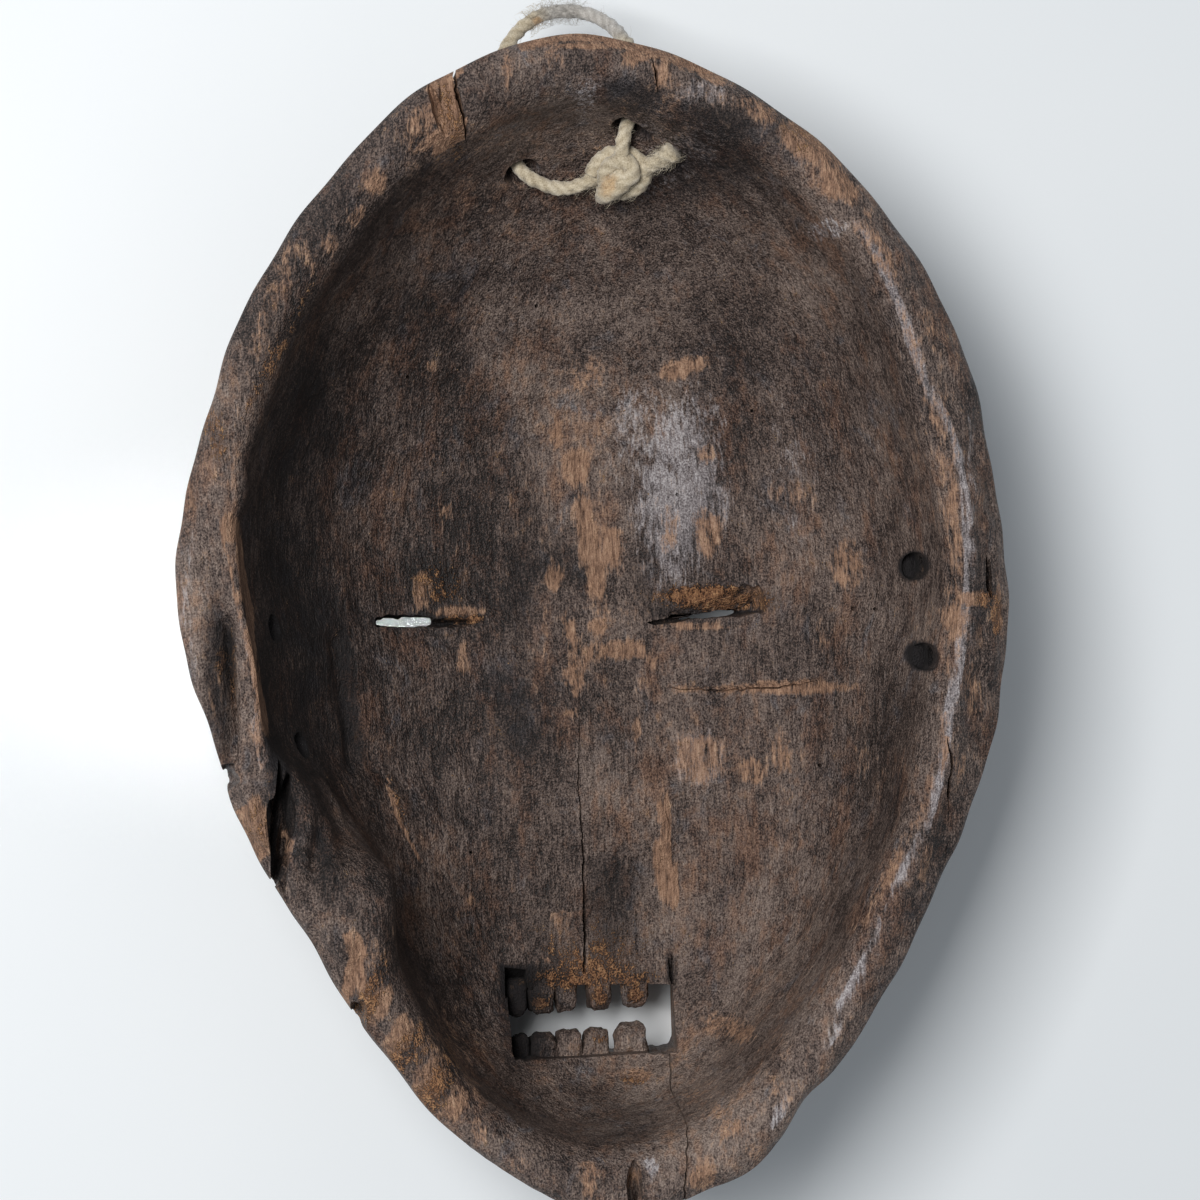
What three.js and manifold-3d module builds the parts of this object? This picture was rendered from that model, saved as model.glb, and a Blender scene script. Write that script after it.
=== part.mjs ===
// A carved wooden face mask that lies on its face, hollow side up, and the tied cord that it hangs by.
// Sizes are in millimetres. x points to the right, y toward the forehead and z up out of the hollow.
// The origin is on the ground, below the middle of the mask.

import * as THREE from 'three';
import { mergeVertices } from 'three/addons/utils/BufferGeometryUtils.js';
import Module from 'manifold-3d';

const wasm = await Module();
wasm.setup();

// Bowl of the mask
const rimHeight = 94;
const hollowDepth = 78;
const wallThickness = 13;
const innerRimDrop = 1.2;
const outerRimDrop = 4.5;
const faceRise = { height: 11, x: 0, y: -38, rx: 62, ry: 46 };

// Rim radii from the middle of the mask, one every 15 degrees, counterclockwise from +x
const rimOuterRadii = [
  105.3, 107, 114, 122.2, 132.2, 141, 148.4, 142, 130, 119.6, 111.4, 107.8,
  104.8, 101.2, 103.4, 107.6, 119.2, 136.6, 148.4, 140, 123.6, 112.2, 106.3, 105,
];
const rimInnerRadii = [
  92.5, 97, 101.5, 111, 122, 130.5, 135.5, 128, 118, 108.5, 99.5, 93.2,
  88.4, 88.6, 92.8, 97.2, 109, 127.5, 138, 130.5, 114.5, 102, 95.2, 91.4,
];

// The walls' curve: full toward the sides and the forehead, squarer toward the chin
const sidePower = { across: 2.2, down: 1.6 };
const chinPower = { across: 4, down: 1.9 };

// Mesh steps
const columns = 60;
const innerRows = 13;
const rimRows = 4;
const outerRows = 19;
const ringSpread = 0.92;

// Raised forms of the face, as soft mounds on the outside
const forehead = { height: 7.6, x: 0, y: 42, rx: 62, ry: 50 };
const muzzle = { height: 12, x: 0, y: -106, rx: 46, ry: 36 };
const cheek = { height: 3.5, x: 52, y: -52, rx: 26, ry: 30 };
const eyeSocket = { height: -5, x: 37, y: 1, rx: 26, ry: 15 };

// Carved features
const nose = { top: 15, tip: -61, topWidth: 14, tipWidth: 35, topHeight: 4, tipHeight: 9.5 };
const noseSection = { rows: 9, sides: 14, root: 5, under: 2, flare: 2.4, roundEnd: 0.12, clearance: 1 };
const brow = { radius: 3, fromX: 9, toX: 66, y: 15, rise: 12, steps: 10, sides: 5, clearance: 0.6 };
const browArch = { turn: 0.8 * Math.PI, sunk: 0.3, sunkAtEnds: 0.5 };
const eyelid = { x: 37, y: 2, length: 42, width: 18, depth: 13 };
const eyeSlit = { length: 29, width: 4.4, leftTilt: -2, rightTilt: 6 };
const eyeBevel = { length: 30, width: 8.5, depth: 4 };
const almondSteps = 5;
const mouth = { x: -0.3, y: -103.7, width: 42.6, height: 19.4, corner: 2 };
const throughCutFrom = -5;
const lips = { squareness: 2.9, sides: 32 };
// Each ring of the lips: its height above the ground, and its width and height across
const lipRings = [
  { z: 0, width: 56, height: 32 },
  { z: 1.5, width: 63, height: 38 },
  { z: 5, width: 67, height: 42 },
  { z: 9, width: 66, height: 41 },
  { z: 14, width: 70, height: 44 },
  { z: 26, width: 78, height: 50 },
];
const groove = { radius: 1.7, shares: [0.66, 0.74, 0.82], from: 38, to: 142, steps: 12, sides: 4 };

// Teeth, each from its left to its right edge
const teeth = { depth: 9, level: 22, root: 2.5, bevel: 0.7, cornerShare: 0.3 };
const upperTeeth = {
  edges: [[-21.4, -15.9], [-15.1, -8.5], [-8, -2.9], [0.9, 6.8], [10, 16.5]],
  length: 9.6,
};
const lowerTeeth = {
  edges: [[-19.8, -16], [-15.4, -9.5], [-8.7, -1.4], [-0.7, 5.4], [7.4, 15.5]],
  length: 4.6,
};

// Holes
const sideHole = { radius: 3.7, inside: 12, length: 45, sides: 12 };
const sideHoles = [
  { x: 84.2, y: 11.9 },
  { x: 84.6, y: -11.3 },
  { x: -81.3, y: 2 },
  { x: -76.1, y: -28.3 },
];
const cordHole = { radius: 3, length: 36, sides: 12 };
const countersink = { radius: 4.4, depth: 4 };
const leftCordHole = { at: [-13.1, 116.9, 60.3], along: [-0.284, 0.738, -0.61] };
const rightCordHole = { at: [14.6, 127.7, 72.6], along: [0.178, 0.754, -0.627] };

// Worn and broken places of the rim
const rimGouge = { x: -94.8, y: -11, z: 94, rx: 2.6, ry: 21, rz: 8 };
const topSplit = { x: -34.7, y: 131, z: 92, rx: 1.5, ry: 12, rz: 7 };
const chinNotch = { x: 3.3, y: -143.1, z: 92, rx: 2, ry: 8, rz: 7 };
const notchDepth = 14;
const edgeNotches = [
  { x: -94.2, y: -34.5, rx: 2.6, ry: 3.4 },
  { x: -64.4, y: -96, rx: 2.4, ry: 4.6 },
  { x: 41.3, y: -127.5, rx: 2.6, ry: 4.5 },
];

// Cord and knot
const cordDiameter = 3.6;
const cordSides = 8;
const cordSteps = 38;
const cordGap = 0.35;
const knot = { at: [12.1, 114.6, 65.6], radii: [6, 6.8, 4.2], tiltX: 0.82, tiltY: 0.18 };
const knotSides = 12;
const knotRings = 8;
const cutEndSteps = 5;
const freeEnd = [[16, 116, 68.6], [20.5, 118, 72.2], [25.2, 119.6, 75.4]];
const tailEnd = [[11, 111, 60.6], [9.8, 108.4, 57.2], [8.6, 106.6, 54.9]];
const cordRoute = [
  [6.4, 115.2, 64], [2.6, 113.4, 62], [-0.9, 112.6, 61], [-4.6, 112.7, 61], [-7.7, 113.7, 61.1],
  [-10.6, 115.2, 60.9], [-12.7, 117.1, 59.9], [-14, 119.3, 58.4], [-15.1, 122.3, 55.9],
  [-16.7, 126.6, 52.3], [-18, 132, 48.2], [-18.5, 138.2, 44.6], [-17.3, 144.8, 41.8],
  [-14.4, 151.2, 39], [-10.2, 156.8, 36.4], [-4.6, 160.8, 34.6], [1.8, 162.2, 34.6],
  [8, 161, 37.2], [13, 157.6, 41.8], [16.2, 152.6, 47.6], [17.5, 147, 53.6], [17.3, 141.8, 59.4],
  [16.7, 137, 64.6], [15.9, 132.8, 68.3], [15, 129.4, 71.2], [14.4, 127, 72.5], [13.7, 124.1, 73.1],
  [13.1, 121.3, 72.6], [12.5, 118.9, 71.2], [12, 116.6, 69.3],
];

const degrees = Math.PI / 180;

// A value from a list that runs evenly round the circle, on a smooth closed curve
function around(values, angle) {
  const count = values.length;
  const place = ((angle / (2 * Math.PI)) * count + 2 * count) % count;
  const first = Math.floor(place);
  const f = place - first;
  const [a, b, c, d] = [-1, 0, 1, 2].map((step) => values[(first + step + count) % count]);
  return b + 0.5 * f * (c - a + f * (2 * a - 5 * b + 4 * c - d + f * (3 * (b - c) + d - a)));
}

function mound(form, x, y) {
  return form.height * Math.exp(-(((x - form.x) / form.rx) ** 2) - ((y - form.y) / form.ry) ** 2);
}

function pairOfMounds(form, x, y) {
  return mound(form, Math.abs(x), y);
}

// How squarely the wall curves in this direction
function power(angle) {
  const chin = Math.max(0, -Math.sin(angle)) ** 2;
  return {
    across: sidePower.across + (chinPower.across - sidePower.across) * chin,
    down: sidePower.down + (chinPower.down - sidePower.down) * chin,
  };
}

// Share of the full depth at a share of the rim radius
function section(share, angle) {
  const { across, down } = power(angle);
  return Math.max(0, 1 - Math.min(share, 1) ** across) ** (1 / down);
}

function bowlHeight(x, y, radii, drop, depth) {
  const angle = Math.atan2(y, x);
  const share = Math.hypot(x, y) / around(radii, angle);
  return rimHeight - drop - (depth - mound(faceRise, x, y) - drop) * section(share, angle);
}

function innerHeight(x, y) {
  return bowlHeight(x, y, rimInnerRadii, innerRimDrop, hollowDepth);
}

function outerHeight(x, y) {
  const base = bowlHeight(x, y, rimOuterRadii, outerRimDrop, hollowDepth + wallThickness);
  const middle = mound(forehead, x, y) + mound(muzzle, x, y);
  const sides = pairOfMounds(cheek, x, y) + pairOfMounds(eyeSocket, x, y);
  return Math.max(0, base - middle - sides);
}

// The ring of points at one step of the bowl, from 0 in the middle to 1 at the rim
function bowlRing(step, radii, heightAt) {
  const share = Math.sin((step * Math.PI) / 2) ** ringSpread;
  const ring = [];
  for (let i = 0; i < columns; i += 1) {
    const angle = (i / columns) * 2 * Math.PI;
    const radius = share * around(radii, angle);
    const x = radius * Math.cos(angle);
    const y = radius * Math.sin(angle);
    ring.push([x, y, heightAt(x, y)]);
  }
  return ring;
}

// The rim's ring at a share of the way from its inner edge to its outer edge
function rimRing(share) {
  const ring = [];
  for (let i = 0; i < columns; i += 1) {
    const angle = (i / columns) * 2 * Math.PI;
    const inner = around(rimInnerRadii, angle);
    const radius = inner + (around(rimOuterRadii, angle) - inner) * share;
    const z = rimHeight - innerRimDrop * (1 - share) ** 4 - outerRimDrop * share ** 2.5;
    ring.push([radius * Math.cos(angle), radius * Math.sin(angle), z]);
  }
  return ring;
}

// A closed body from rings of equal length, with a point at each end
function closeRings(start, rings, end) {
  const count = rings[0].length;
  const points = [start, ...rings.flat(), end];
  const index = [];
  for (let i = 0; i < count; i += 1) {
    const next = (i + 1) % count;
    index.push(0, 1 + i, 1 + next);
    for (let k = 0; k < rings.length - 1; k += 1) {
      const a = 1 + k * count + i;
      const b = 1 + k * count + next;
      index.push(a, a + count, b, b, a + count, b + count);
    }
    const last = 1 + (rings.length - 1) * count;
    index.push(last + i, points.length - 1, last + next);
  }
  const geometry = new THREE.BufferGeometry();
  geometry.setAttribute('position', new THREE.Float32BufferAttribute(points.flat(), 3));
  geometry.setIndex(index);
  return geometry;
}

// A solid for joining and cutting
function solid(geometry) {
  const bare = geometry.clone();
  bare.deleteAttribute('normal');
  bare.deleteAttribute('uv');
  const merged = mergeVertices(bare, 1e-4);
  return new wasm.Manifold(new wasm.Mesh({
    numProp: 3,
    vertProperties: new Float32Array(merged.attributes.position.array),
    triVerts: new Uint32Array(merged.index.array),
  }));
}

function geometryOf(body) {
  const mesh = body.getMesh();
  const geometry = new THREE.BufferGeometry();
  geometry.setAttribute('position', new THREE.Float32BufferAttribute(mesh.vertProperties, 3));
  geometry.setIndex(Array.from(mesh.triVerts));
  return geometry;
}

function shell() {
  const rings = [];
  for (let i = 1; i <= innerRows; i += 1) rings.push(bowlRing(i / innerRows, rimInnerRadii, innerHeight));
  for (let i = 1; i < rimRows; i += 1) rings.push(rimRing(i / rimRows));
  for (let i = outerRows; i >= 1; i -= 1) rings.push(bowlRing(i / outerRows, rimOuterRadii, outerHeight));
  return closeRings([0, 0, innerHeight(0, 0)], rings, [0, 0, outerHeight(0, 0)]);
}

// The nose ridge: elliptical sections that narrow and flatten from the tip to the brow
function noseRidge() {
  const { rows, sides, root, under, flare, roundEnd, clearance } = noseSection;
  const rings = [];
  for (let k = 0; k <= rows; k += 1) {
    const share = 1 - k / rows;
    const y = nose.top + (nose.tip - nose.top) * share;
    const end = Math.sqrt(Math.max(roundEnd, 1 - (2 * share - 1) ** 8));
    const width = (nose.topWidth + (nose.tipWidth - nose.topWidth) * share ** flare) * end;
    const height = (nose.topHeight + (nose.tipHeight - nose.topHeight) * share) * end + root;
    const middle = outerHeight(0, y) + root;
    const ring = [];
    for (let i = 0; i < sides; i += 1) {
      const turn = (i / sides) * 2 * Math.PI;
      const reach = Math.sin(turn) < 0 ? height : under;
      const z = Math.max(middle + reach * Math.sin(turn), clearance);
      ring.push([(width / 2) * Math.cos(turn), y, z]);
    }
    rings.push(ring);
  }
  const ends = [nose.tip, nose.top].map((y) => [0, y, outerHeight(0, y) + root]);
  return closeRings(ends[0], rings, ends[1]);
}

// The protruding lips, from the worn flat front to where they grow out of the muzzle
function lipBlock() {
  const rings = lipRings.map(({ z, width, height }) => {
    const ring = [];
    for (let i = 0; i < lips.sides; i += 1) {
      const turn = (i / lips.sides) * 2 * Math.PI;
      const [c, s] = [Math.cos(turn), Math.sin(turn)];
      const x = (Math.sign(c) * Math.abs(c) ** (2 / lips.squareness) * width) / 2;
      const y = (Math.sign(s) * Math.abs(s) ** (2 / lips.squareness) * height) / 2;
      ring.push([mouth.x + x, mouth.y + y, z]);
    }
    return ring;
  });
  const last = lipRings[lipRings.length - 1].z;
  return closeRings([mouth.x, mouth.y, last], rings.reverse(), [mouth.x, mouth.y, 0]);
}

// A raised brow that arches from the nose over one eye
function browRidge(side) {
  const points = [];
  for (let i = 0; i <= brow.steps; i += 1) {
    const share = i / brow.steps;
    const x = side * (brow.fromX + (brow.toX - brow.fromX) * share);
    const y = brow.y + brow.rise * Math.sin(share * browArch.turn);
    const sunk = brow.radius * (browArch.sunk + browArch.sunkAtEnds * (2 * share - 1) ** 4);
    points.push([x, y, Math.max(outerHeight(x, y) + sunk, brow.radius + brow.clearance)]);
  }
  return tube(curveThrough(points), brow.radius, brow.steps, brow.sides);
}

function roundedRectangle(width, height, corner) {
  const shape = new THREE.Shape();
  const [x, y] = [width / 2, height / 2];
  shape.moveTo(-x + corner, -y);
  shape.lineTo(x - corner, -y);
  shape.quadraticCurveTo(x, -y, x, -y + corner);
  shape.lineTo(x, y - corner);
  shape.quadraticCurveTo(x, y, x - corner, y);
  shape.lineTo(-x + corner, y);
  shape.quadraticCurveTo(-x, y, -x, y - corner);
  shape.lineTo(-x, -y + corner);
  shape.quadraticCurveTo(-x, -y, -x + corner, -y);
  return shape;
}

// A prism that stands along z, from one height to another
function prism(shape, low, high, curveSegments, bevel = 0) {
  const geometry = new THREE.ExtrudeGeometry(shape, {
    depth: high - low - 2 * bevel,
    steps: 1,
    curveSegments,
    bevelEnabled: bevel > 0,
    bevelThickness: bevel,
    bevelSize: bevel,
    bevelOffset: -bevel,
    bevelSegments: 1,
  });
  return geometry.translate(0, 0, low + bevel);
}

// An almond outline, pointed at both ends
function almond(length, width) {
  const shape = new THREE.Shape();
  shape.moveTo(-length / 2, 0);
  shape.quadraticCurveTo(0, -width, length / 2, 0);
  shape.quadraticCurveTo(0, width, -length / 2, 0);
  return shape;
}

function ellipsoid(form, sides = 16, rings = 8) {
  const geometry = new THREE.SphereGeometry(1, sides, rings);
  geometry.rotateX(Math.PI / 2);
  geometry.scale(form.rx, form.ry, form.rz);
  return geometry.translate(form.x, form.y, form.z);
}

// A round bar from one point along a direction, which may widen toward its start
function bar(at, along, length, startRadius, endRadius, sides) {
  const geometry = new THREE.CylinderGeometry(endRadius, startRadius, length, sides);
  geometry.translate(0, length / 2, 0);
  const turn = new THREE.Quaternion().setFromUnitVectors(new THREE.Vector3(0, 1, 0), along);
  geometry.applyQuaternion(turn);
  return geometry.translate(at.x, at.y, at.z);
}

// A round section carried along a curve
function tube(curve, radius, steps, sides) {
  const circle = new THREE.Shape();
  for (let i = 0; i < sides; i += 1) {
    const turn = (i / sides) * 2 * Math.PI;
    const point = [radius * Math.cos(turn), radius * Math.sin(turn)];
    if (i === 0) circle.moveTo(...point);
    else circle.lineTo(...point);
  }
  circle.closePath();
  return new THREE.ExtrudeGeometry(circle, { steps, extrudePath: curve, bevelEnabled: false });
}

function curveThrough(points) {
  const places = points.map((point) => new THREE.Vector3(...point));
  return new THREE.CatmullRomCurve3(places, false, 'catmullrom', 0.5);
}

// A worn groove that follows the forehead's edge at a share of the rim radius
function foreheadGroove(share) {
  const points = [];
  for (let i = 0; i <= groove.steps; i += 1) {
    const angle = (groove.from + ((groove.to - groove.from) * i) / groove.steps) * degrees;
    const radius = share * around(rimOuterRadii, angle);
    const [x, y] = [radius * Math.cos(angle), radius * Math.sin(angle)];
    points.push([x, y, outerHeight(x, y)]);
  }
  return tube(curveThrough(points), groove.radius, groove.steps, groove.sides);
}

// A hole drilled level through the side wall, where the inner surface is at this place
function sideHoleCutter({ x, y }) {
  const along = new THREE.Vector3(Math.sign(x), 0, 0);
  const at = new THREE.Vector3(x, y, innerHeight(x, y)).addScaledVector(along, -sideHole.inside);
  return bar(at, along, sideHole.length, sideHole.radius, sideHole.radius, sideHole.sides);
}

// A slanted hole, wider where it opens into the hollow
function cordHoleCutter({ at, along }) {
  const line = new THREE.Vector3(...along).normalize();
  const entry = new THREE.Vector3(...at);
  const back = entry.clone().addScaledVector(line, -countersink.depth);
  const { radius, length, sides } = cordHole;
  const wide = 2 * countersink.radius - radius;
  const drilled = solid(bar(back, line, length, radius, radius, sides));
  return drilled.add(solid(bar(back, line, 2 * countersink.depth, wide, radius, sides)));
}

function eyeCutter(side, tilt) {
  const { length, width } = eyeSlit;
  const slit = prism(almond(length, width), throughCutFrom, rimHeight, almondSteps);
  const level = innerHeight(side * eyelid.x, eyelid.y) - eyeBevel.depth;
  const bevel = prism(almond(eyeBevel.length, eyeBevel.width), level, rimHeight, almondSteps);
  return [slit, bevel.translate(0, eyeBevel.width / 4, 0)].map((geometry) => {
    geometry.rotateZ(tilt * degrees);
    return solid(geometry.translate(side * eyelid.x, eyelid.y, 0));
  });
}

function tooth([left, right], length, tipDirection, gumY) {
  const width = right - left;
  const tall = length + teeth.root;
  const outline = roundedRectangle(width, tall, Math.min(width, length) * teeth.cornerShare);
  const block = prism(outline, teeth.level, teeth.level + teeth.depth, 1, teeth.bevel);
  const y = gumY + tipDirection * (tall / 2 - teeth.root);
  return solid(block.translate((left + right) / 2, y, 0));
}

// One eyelid bulge, its brow and the slit cut through it
function addEye(body, side, tilt) {
  const bulge = {
    x: side * eyelid.x,
    y: eyelid.y,
    z: outerHeight(eyelid.x, eyelid.y) + eyelid.depth / 4,
    rx: eyelid.length / 2,
    ry: eyelid.width / 2,
    rz: eyelid.depth / 2,
  };
  let carved = body.add(solid(browRidge(side))).add(solid(ellipsoid(bulge)));
  for (const cutter of eyeCutter(side, tilt)) carved = carved.subtract(cutter);
  return carved;
}

// The mouth: an opening through the lips, and its two rows of teeth
function addMouth(body) {
  const { x, y, width, height, corner } = mouth;
  const opening = prism(roundedRectangle(width, height, corner), throughCutFrom, rimHeight, 1);
  let carved = body.add(solid(lipBlock())).subtract(solid(opening.translate(x, y, 0)));
  for (const edges of upperTeeth.edges) {
    carved = carved.add(tooth(edges, upperTeeth.length, -1, y + height / 2));
  }
  for (const edges of lowerTeeth.edges) {
    carved = carved.add(tooth(edges, lowerTeeth.length, 1, y - height / 2));
  }
  return carved;
}

function maskBody() {
  let body = solid(shell()).add(solid(noseRidge()));
  body = addEye(body, -1, eyeSlit.leftTilt);
  body = addEye(body, 1, eyeSlit.rightTilt);
  body = addMouth(body);
  for (const share of groove.shares) body = body.subtract(solid(foreheadGroove(share)));
  for (const hole of sideHoles) body = body.subtract(solid(sideHoleCutter(hole)));
  for (const hole of [leftCordHole, rightCordHole]) body = body.subtract(cordHoleCutter(hole));
  for (const worn of [rimGouge, topSplit, chinNotch]) body = body.subtract(solid(ellipsoid(worn, 10, 6)));
  for (const notch of edgeNotches) {
    body = body.subtract(solid(ellipsoid({ ...notch, z: rimHeight, rz: notchDepth }, 8, 6)));
  }
  return body;
}

const cordCurve = curveThrough(cordRoute);

function cordBody() {
  return solid(tube(cordCurve, cordDiameter / 2, cordSteps, cordSides));
}

// The knot: a lump with two cut ends, hollowed where the cord runs into it
function knotBody() {
  const lump = new THREE.SphereGeometry(1, knotSides, knotRings);
  lump.scale(...knot.radii);
  lump.rotateX(knot.tiltX);
  lump.rotateY(knot.tiltY);
  lump.translate(...knot.at);
  let body = solid(lump);
  for (const points of [freeEnd, tailEnd]) {
    const end = curveThrough([knot.at, ...points]);
    body = body.add(solid(tube(end, cordDiameter / 2, cutEndSteps, cordSides)));
  }
  return body.subtract(solid(tube(cordCurve, cordDiameter / 2 + cordGap, cordSteps, cordSides)));
}

const wood = new THREE.MeshStandardMaterial({ color: 0x4a3c35, roughness: 0.72, metalness: 0 });
const cotton = new THREE.MeshStandardMaterial({ color: 0xcbc0a6, roughness: 0.95, metalness: 0 });
const knotCotton = new THREE.MeshStandardMaterial({ color: 0xc6b795, roughness: 0.95, metalness: 0 });

const object = new THREE.Group();
const pieces = [
  ['mask', maskBody(), wood],
  ['hanging_cord', cordBody(), cotton],
  ['cord_knot', knotBody(), knotCotton],
];
for (const [name, body, material] of pieces) {
  const mesh = new THREE.Mesh(geometryOf(body), material);
  mesh.name = name;
  object.add(mesh);
}

export default object;
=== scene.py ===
# A carved wooden face mask that lies on its face, hollow side up, with its knotted hanging cord.
# Shapes are worked out in millimetres and put into the meshes in metres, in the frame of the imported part.
import math
import bpy
import numpy as np
from mathutils import Matrix, Vector


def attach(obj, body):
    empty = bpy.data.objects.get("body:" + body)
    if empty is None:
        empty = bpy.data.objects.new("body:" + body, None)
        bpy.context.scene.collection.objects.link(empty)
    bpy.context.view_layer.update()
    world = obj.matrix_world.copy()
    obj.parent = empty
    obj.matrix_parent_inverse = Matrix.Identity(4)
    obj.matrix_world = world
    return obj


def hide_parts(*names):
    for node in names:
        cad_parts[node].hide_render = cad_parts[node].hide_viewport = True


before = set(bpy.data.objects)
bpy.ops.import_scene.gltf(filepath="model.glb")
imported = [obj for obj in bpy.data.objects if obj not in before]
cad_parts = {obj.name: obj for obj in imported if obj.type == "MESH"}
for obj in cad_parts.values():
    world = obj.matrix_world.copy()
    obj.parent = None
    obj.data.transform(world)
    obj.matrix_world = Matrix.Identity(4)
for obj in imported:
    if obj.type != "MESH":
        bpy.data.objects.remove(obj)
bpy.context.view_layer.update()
scene = bpy.context.scene
mm = 0.001


def buildMesh(name, points, quads=None, triangles=None):
    # Puts points in mm and faces into a new mesh object, in metres
    groups = [np.asarray(f, int) for f in (quads, triangles) if f is not None and len(f)]
    loops = np.concatenate([f.ravel() for f in groups])
    sizes = np.concatenate([np.full(len(f), f.shape[1]) for f in groups])
    mesh = bpy.data.meshes.new(name)
    mesh.vertices.add(len(points))
    mesh.vertices.foreach_set("co", (np.asarray(points) * mm).astype(np.float32).ravel())
    mesh.loops.add(len(loops))
    mesh.loops.foreach_set("vertex_index", loops.astype(np.int32))
    mesh.polygons.add(len(sizes))
    mesh.polygons.foreach_set("loop_start", np.concatenate([[0], np.cumsum(sizes)[:-1]]).astype(np.int32))
    mesh.polygons.foreach_set("use_smooth", np.ones(len(sizes), bool))
    mesh.update(calc_edges=True)
    piece = bpy.data.objects.new(name, mesh)
    scene.collection.objects.link(piece)
    return piece


def meshPoints(piece):
    flat = np.zeros(len(piece.data.vertices) * 3, np.float32)
    piece.data.vertices.foreach_get("co", flat)
    return flat.reshape(-1, 3).astype(float) / mm


def meshNormals(piece):
    flat = np.zeros(len(piece.data.vertices) * 3, np.float32)
    piece.data.vertices.foreach_get("normal", flat)
    return flat.reshape(-1, 3).astype(float)


def setValues(piece, name, values):
    layer = piece.data.attributes.new(name, "FLOAT", "POINT")
    layer.data.foreach_set("value", np.asarray(values, np.float32))


def ringFaces(rings, count, closed=True):
    # Quads between rings of equal length that follow each other, each ring a closed loop
    ring = np.arange(rings - 1)[:, None] * count
    here = np.arange(count if closed else count - 1)[None, :]
    ahead = (here + 1) % count
    return np.stack([ring + here, ring + ahead, ring + count + ahead, ring + count + here], -1).reshape(-1, 4)


def closedLoft(rings):
    # A closed body from an array of rings (ring, point, xyz), with a point in the middle of each end.
    # Rings that turn counterclockwise as seen from where they go have their faces pointing out.
    count, around = rings.shape[:2]
    points = np.concatenate([rings.reshape(-1, 3), rings[0].mean(0)[None], rings[-1].mean(0)[None]])
    here = np.arange(around)
    ahead = (here + 1) % around
    first = np.stack([np.full(around, count * around), ahead, here], -1)
    last = (count - 1) * around
    end = np.stack([np.full(around, count * around + 1), last + here, last + ahead], -1)
    return points, ringFaces(count, around), np.concatenate([first, end])


def joinBodies(name, bodies):
    # One object from several (points, quads, triangles), none of which touch
    points, quads, triangles, start = [], [], [], 0
    for p, q, t in bodies:
        points.append(p)
        quads.append(np.asarray(q).reshape(-1, 4) + start)
        triangles.append(np.asarray(t).reshape(-1, 3) + start)
        start += len(p)
    return buildMesh(name, np.concatenate(points), np.concatenate(quads), np.concatenate(triangles))


def combine(piece, tool, operation):
    # Joins the tool to the piece or cuts it away, and removes the tool
    step = piece.modifiers.new("carve", "BOOLEAN")
    step.operation = operation
    step.solver = "MANIFOLD"
    step.object = tool
    bpy.context.view_layer.update()
    shaped = bpy.data.meshes.new_from_object(piece.evaluated_get(bpy.context.evaluated_depsgraph_get()))
    old = piece.data
    piece.modifiers.clear()
    piece.data = shaped
    bpy.data.meshes.remove(old)
    bpy.data.objects.remove(tool)


def smooth(low, high, value):
    # 0 below low, 1 above high, and an even S between
    share = np.clip((value - low) / (high - low), 0, 1)
    return share * share * (3 - 2 * share)


def waves(points, size, seed, count=26, stretch=(1, 1, 1)):
    # A soft random field, about -1 to 1: a sum of sine waves of roughly this size in mm in random directions
    draw = np.random.default_rng(seed)
    heading = draw.normal(size=(3, count))
    heading /= np.linalg.norm(heading, axis=0)
    number = 2 * np.pi / size * draw.uniform(0.7, 1.5, count)
    offset = draw.uniform(0, 2 * np.pi, count)
    return np.sin((points / np.array(stretch)) @ (heading * number) + offset).sum(-1) / np.sqrt(count)


def lineDistance(x, y, line):
    # Distance to a line of points, the share along it of the nearest place, and the side (+1 left of its way)
    line = np.asarray(line, float)
    best = np.full(x.shape, 1e9)
    along = np.zeros(x.shape)
    side = np.ones(x.shape)
    lengths = np.hypot(*(line[1:] - line[:-1]).T)
    total = lengths.sum()
    done = 0.0
    for (ax, ay), (bx, by), length in zip(line[:-1], line[1:], lengths):
        share = np.clip(((x - ax) * (bx - ax) + (y - ay) * (by - ay)) / length ** 2, 0, 1)
        dx, dy = x - ax - share * (bx - ax), y - ay - share * (by - ay)
        far = np.hypot(dx, dy)
        nearer = far < best
        best = np.where(nearer, far, best)
        along = np.where(nearer, (done + share * length) / total, along)
        side = np.where(nearer, np.sign((bx - ax) * dy - (by - ay) * dx), side)
        done += length
    return best, along, side


def smoothStep(a, b, c, d, f):
    # The value at a share f of the way from b to c on the Catmull-Rom curve through all four
    return b + 0.5 * f * (c - a + f * (2 * a - 5 * b + 4 * c - d + f * (3 * (b - c) + d - a)))


def turned(x, y, degrees):
    # A place turned counterclockwise about the middle
    c, s = np.cos(np.radians(degrees)), np.sin(np.radians(degrees))
    return x * c - y * s, x * s + y * c


def curveThrough(knots, count):
    # Points on a smooth curve through the knots, evenly spaced along it, and its length
    knots = np.asarray(knots, float)
    padded = np.concatenate([[2 * knots[0] - knots[1]], knots, [2 * knots[-1] - knots[-2]]])
    t = np.linspace(0, len(knots) - 1, 40 * len(knots))
    i = np.minimum(t.astype(int), len(knots) - 2)
    f = (t - i)[:, None]
    fine = smoothStep(padded[i], padded[i + 1], padded[i + 2], padded[i + 3], f)
    reach = np.concatenate([[0], np.cumsum(np.linalg.norm(np.diff(fine, axis=0), axis=1))])
    even = np.linspace(0, reach[-1], count)
    return np.stack([np.interp(even, reach, fine[:, k]) for k in range(3)], -1), reach[-1]


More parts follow.
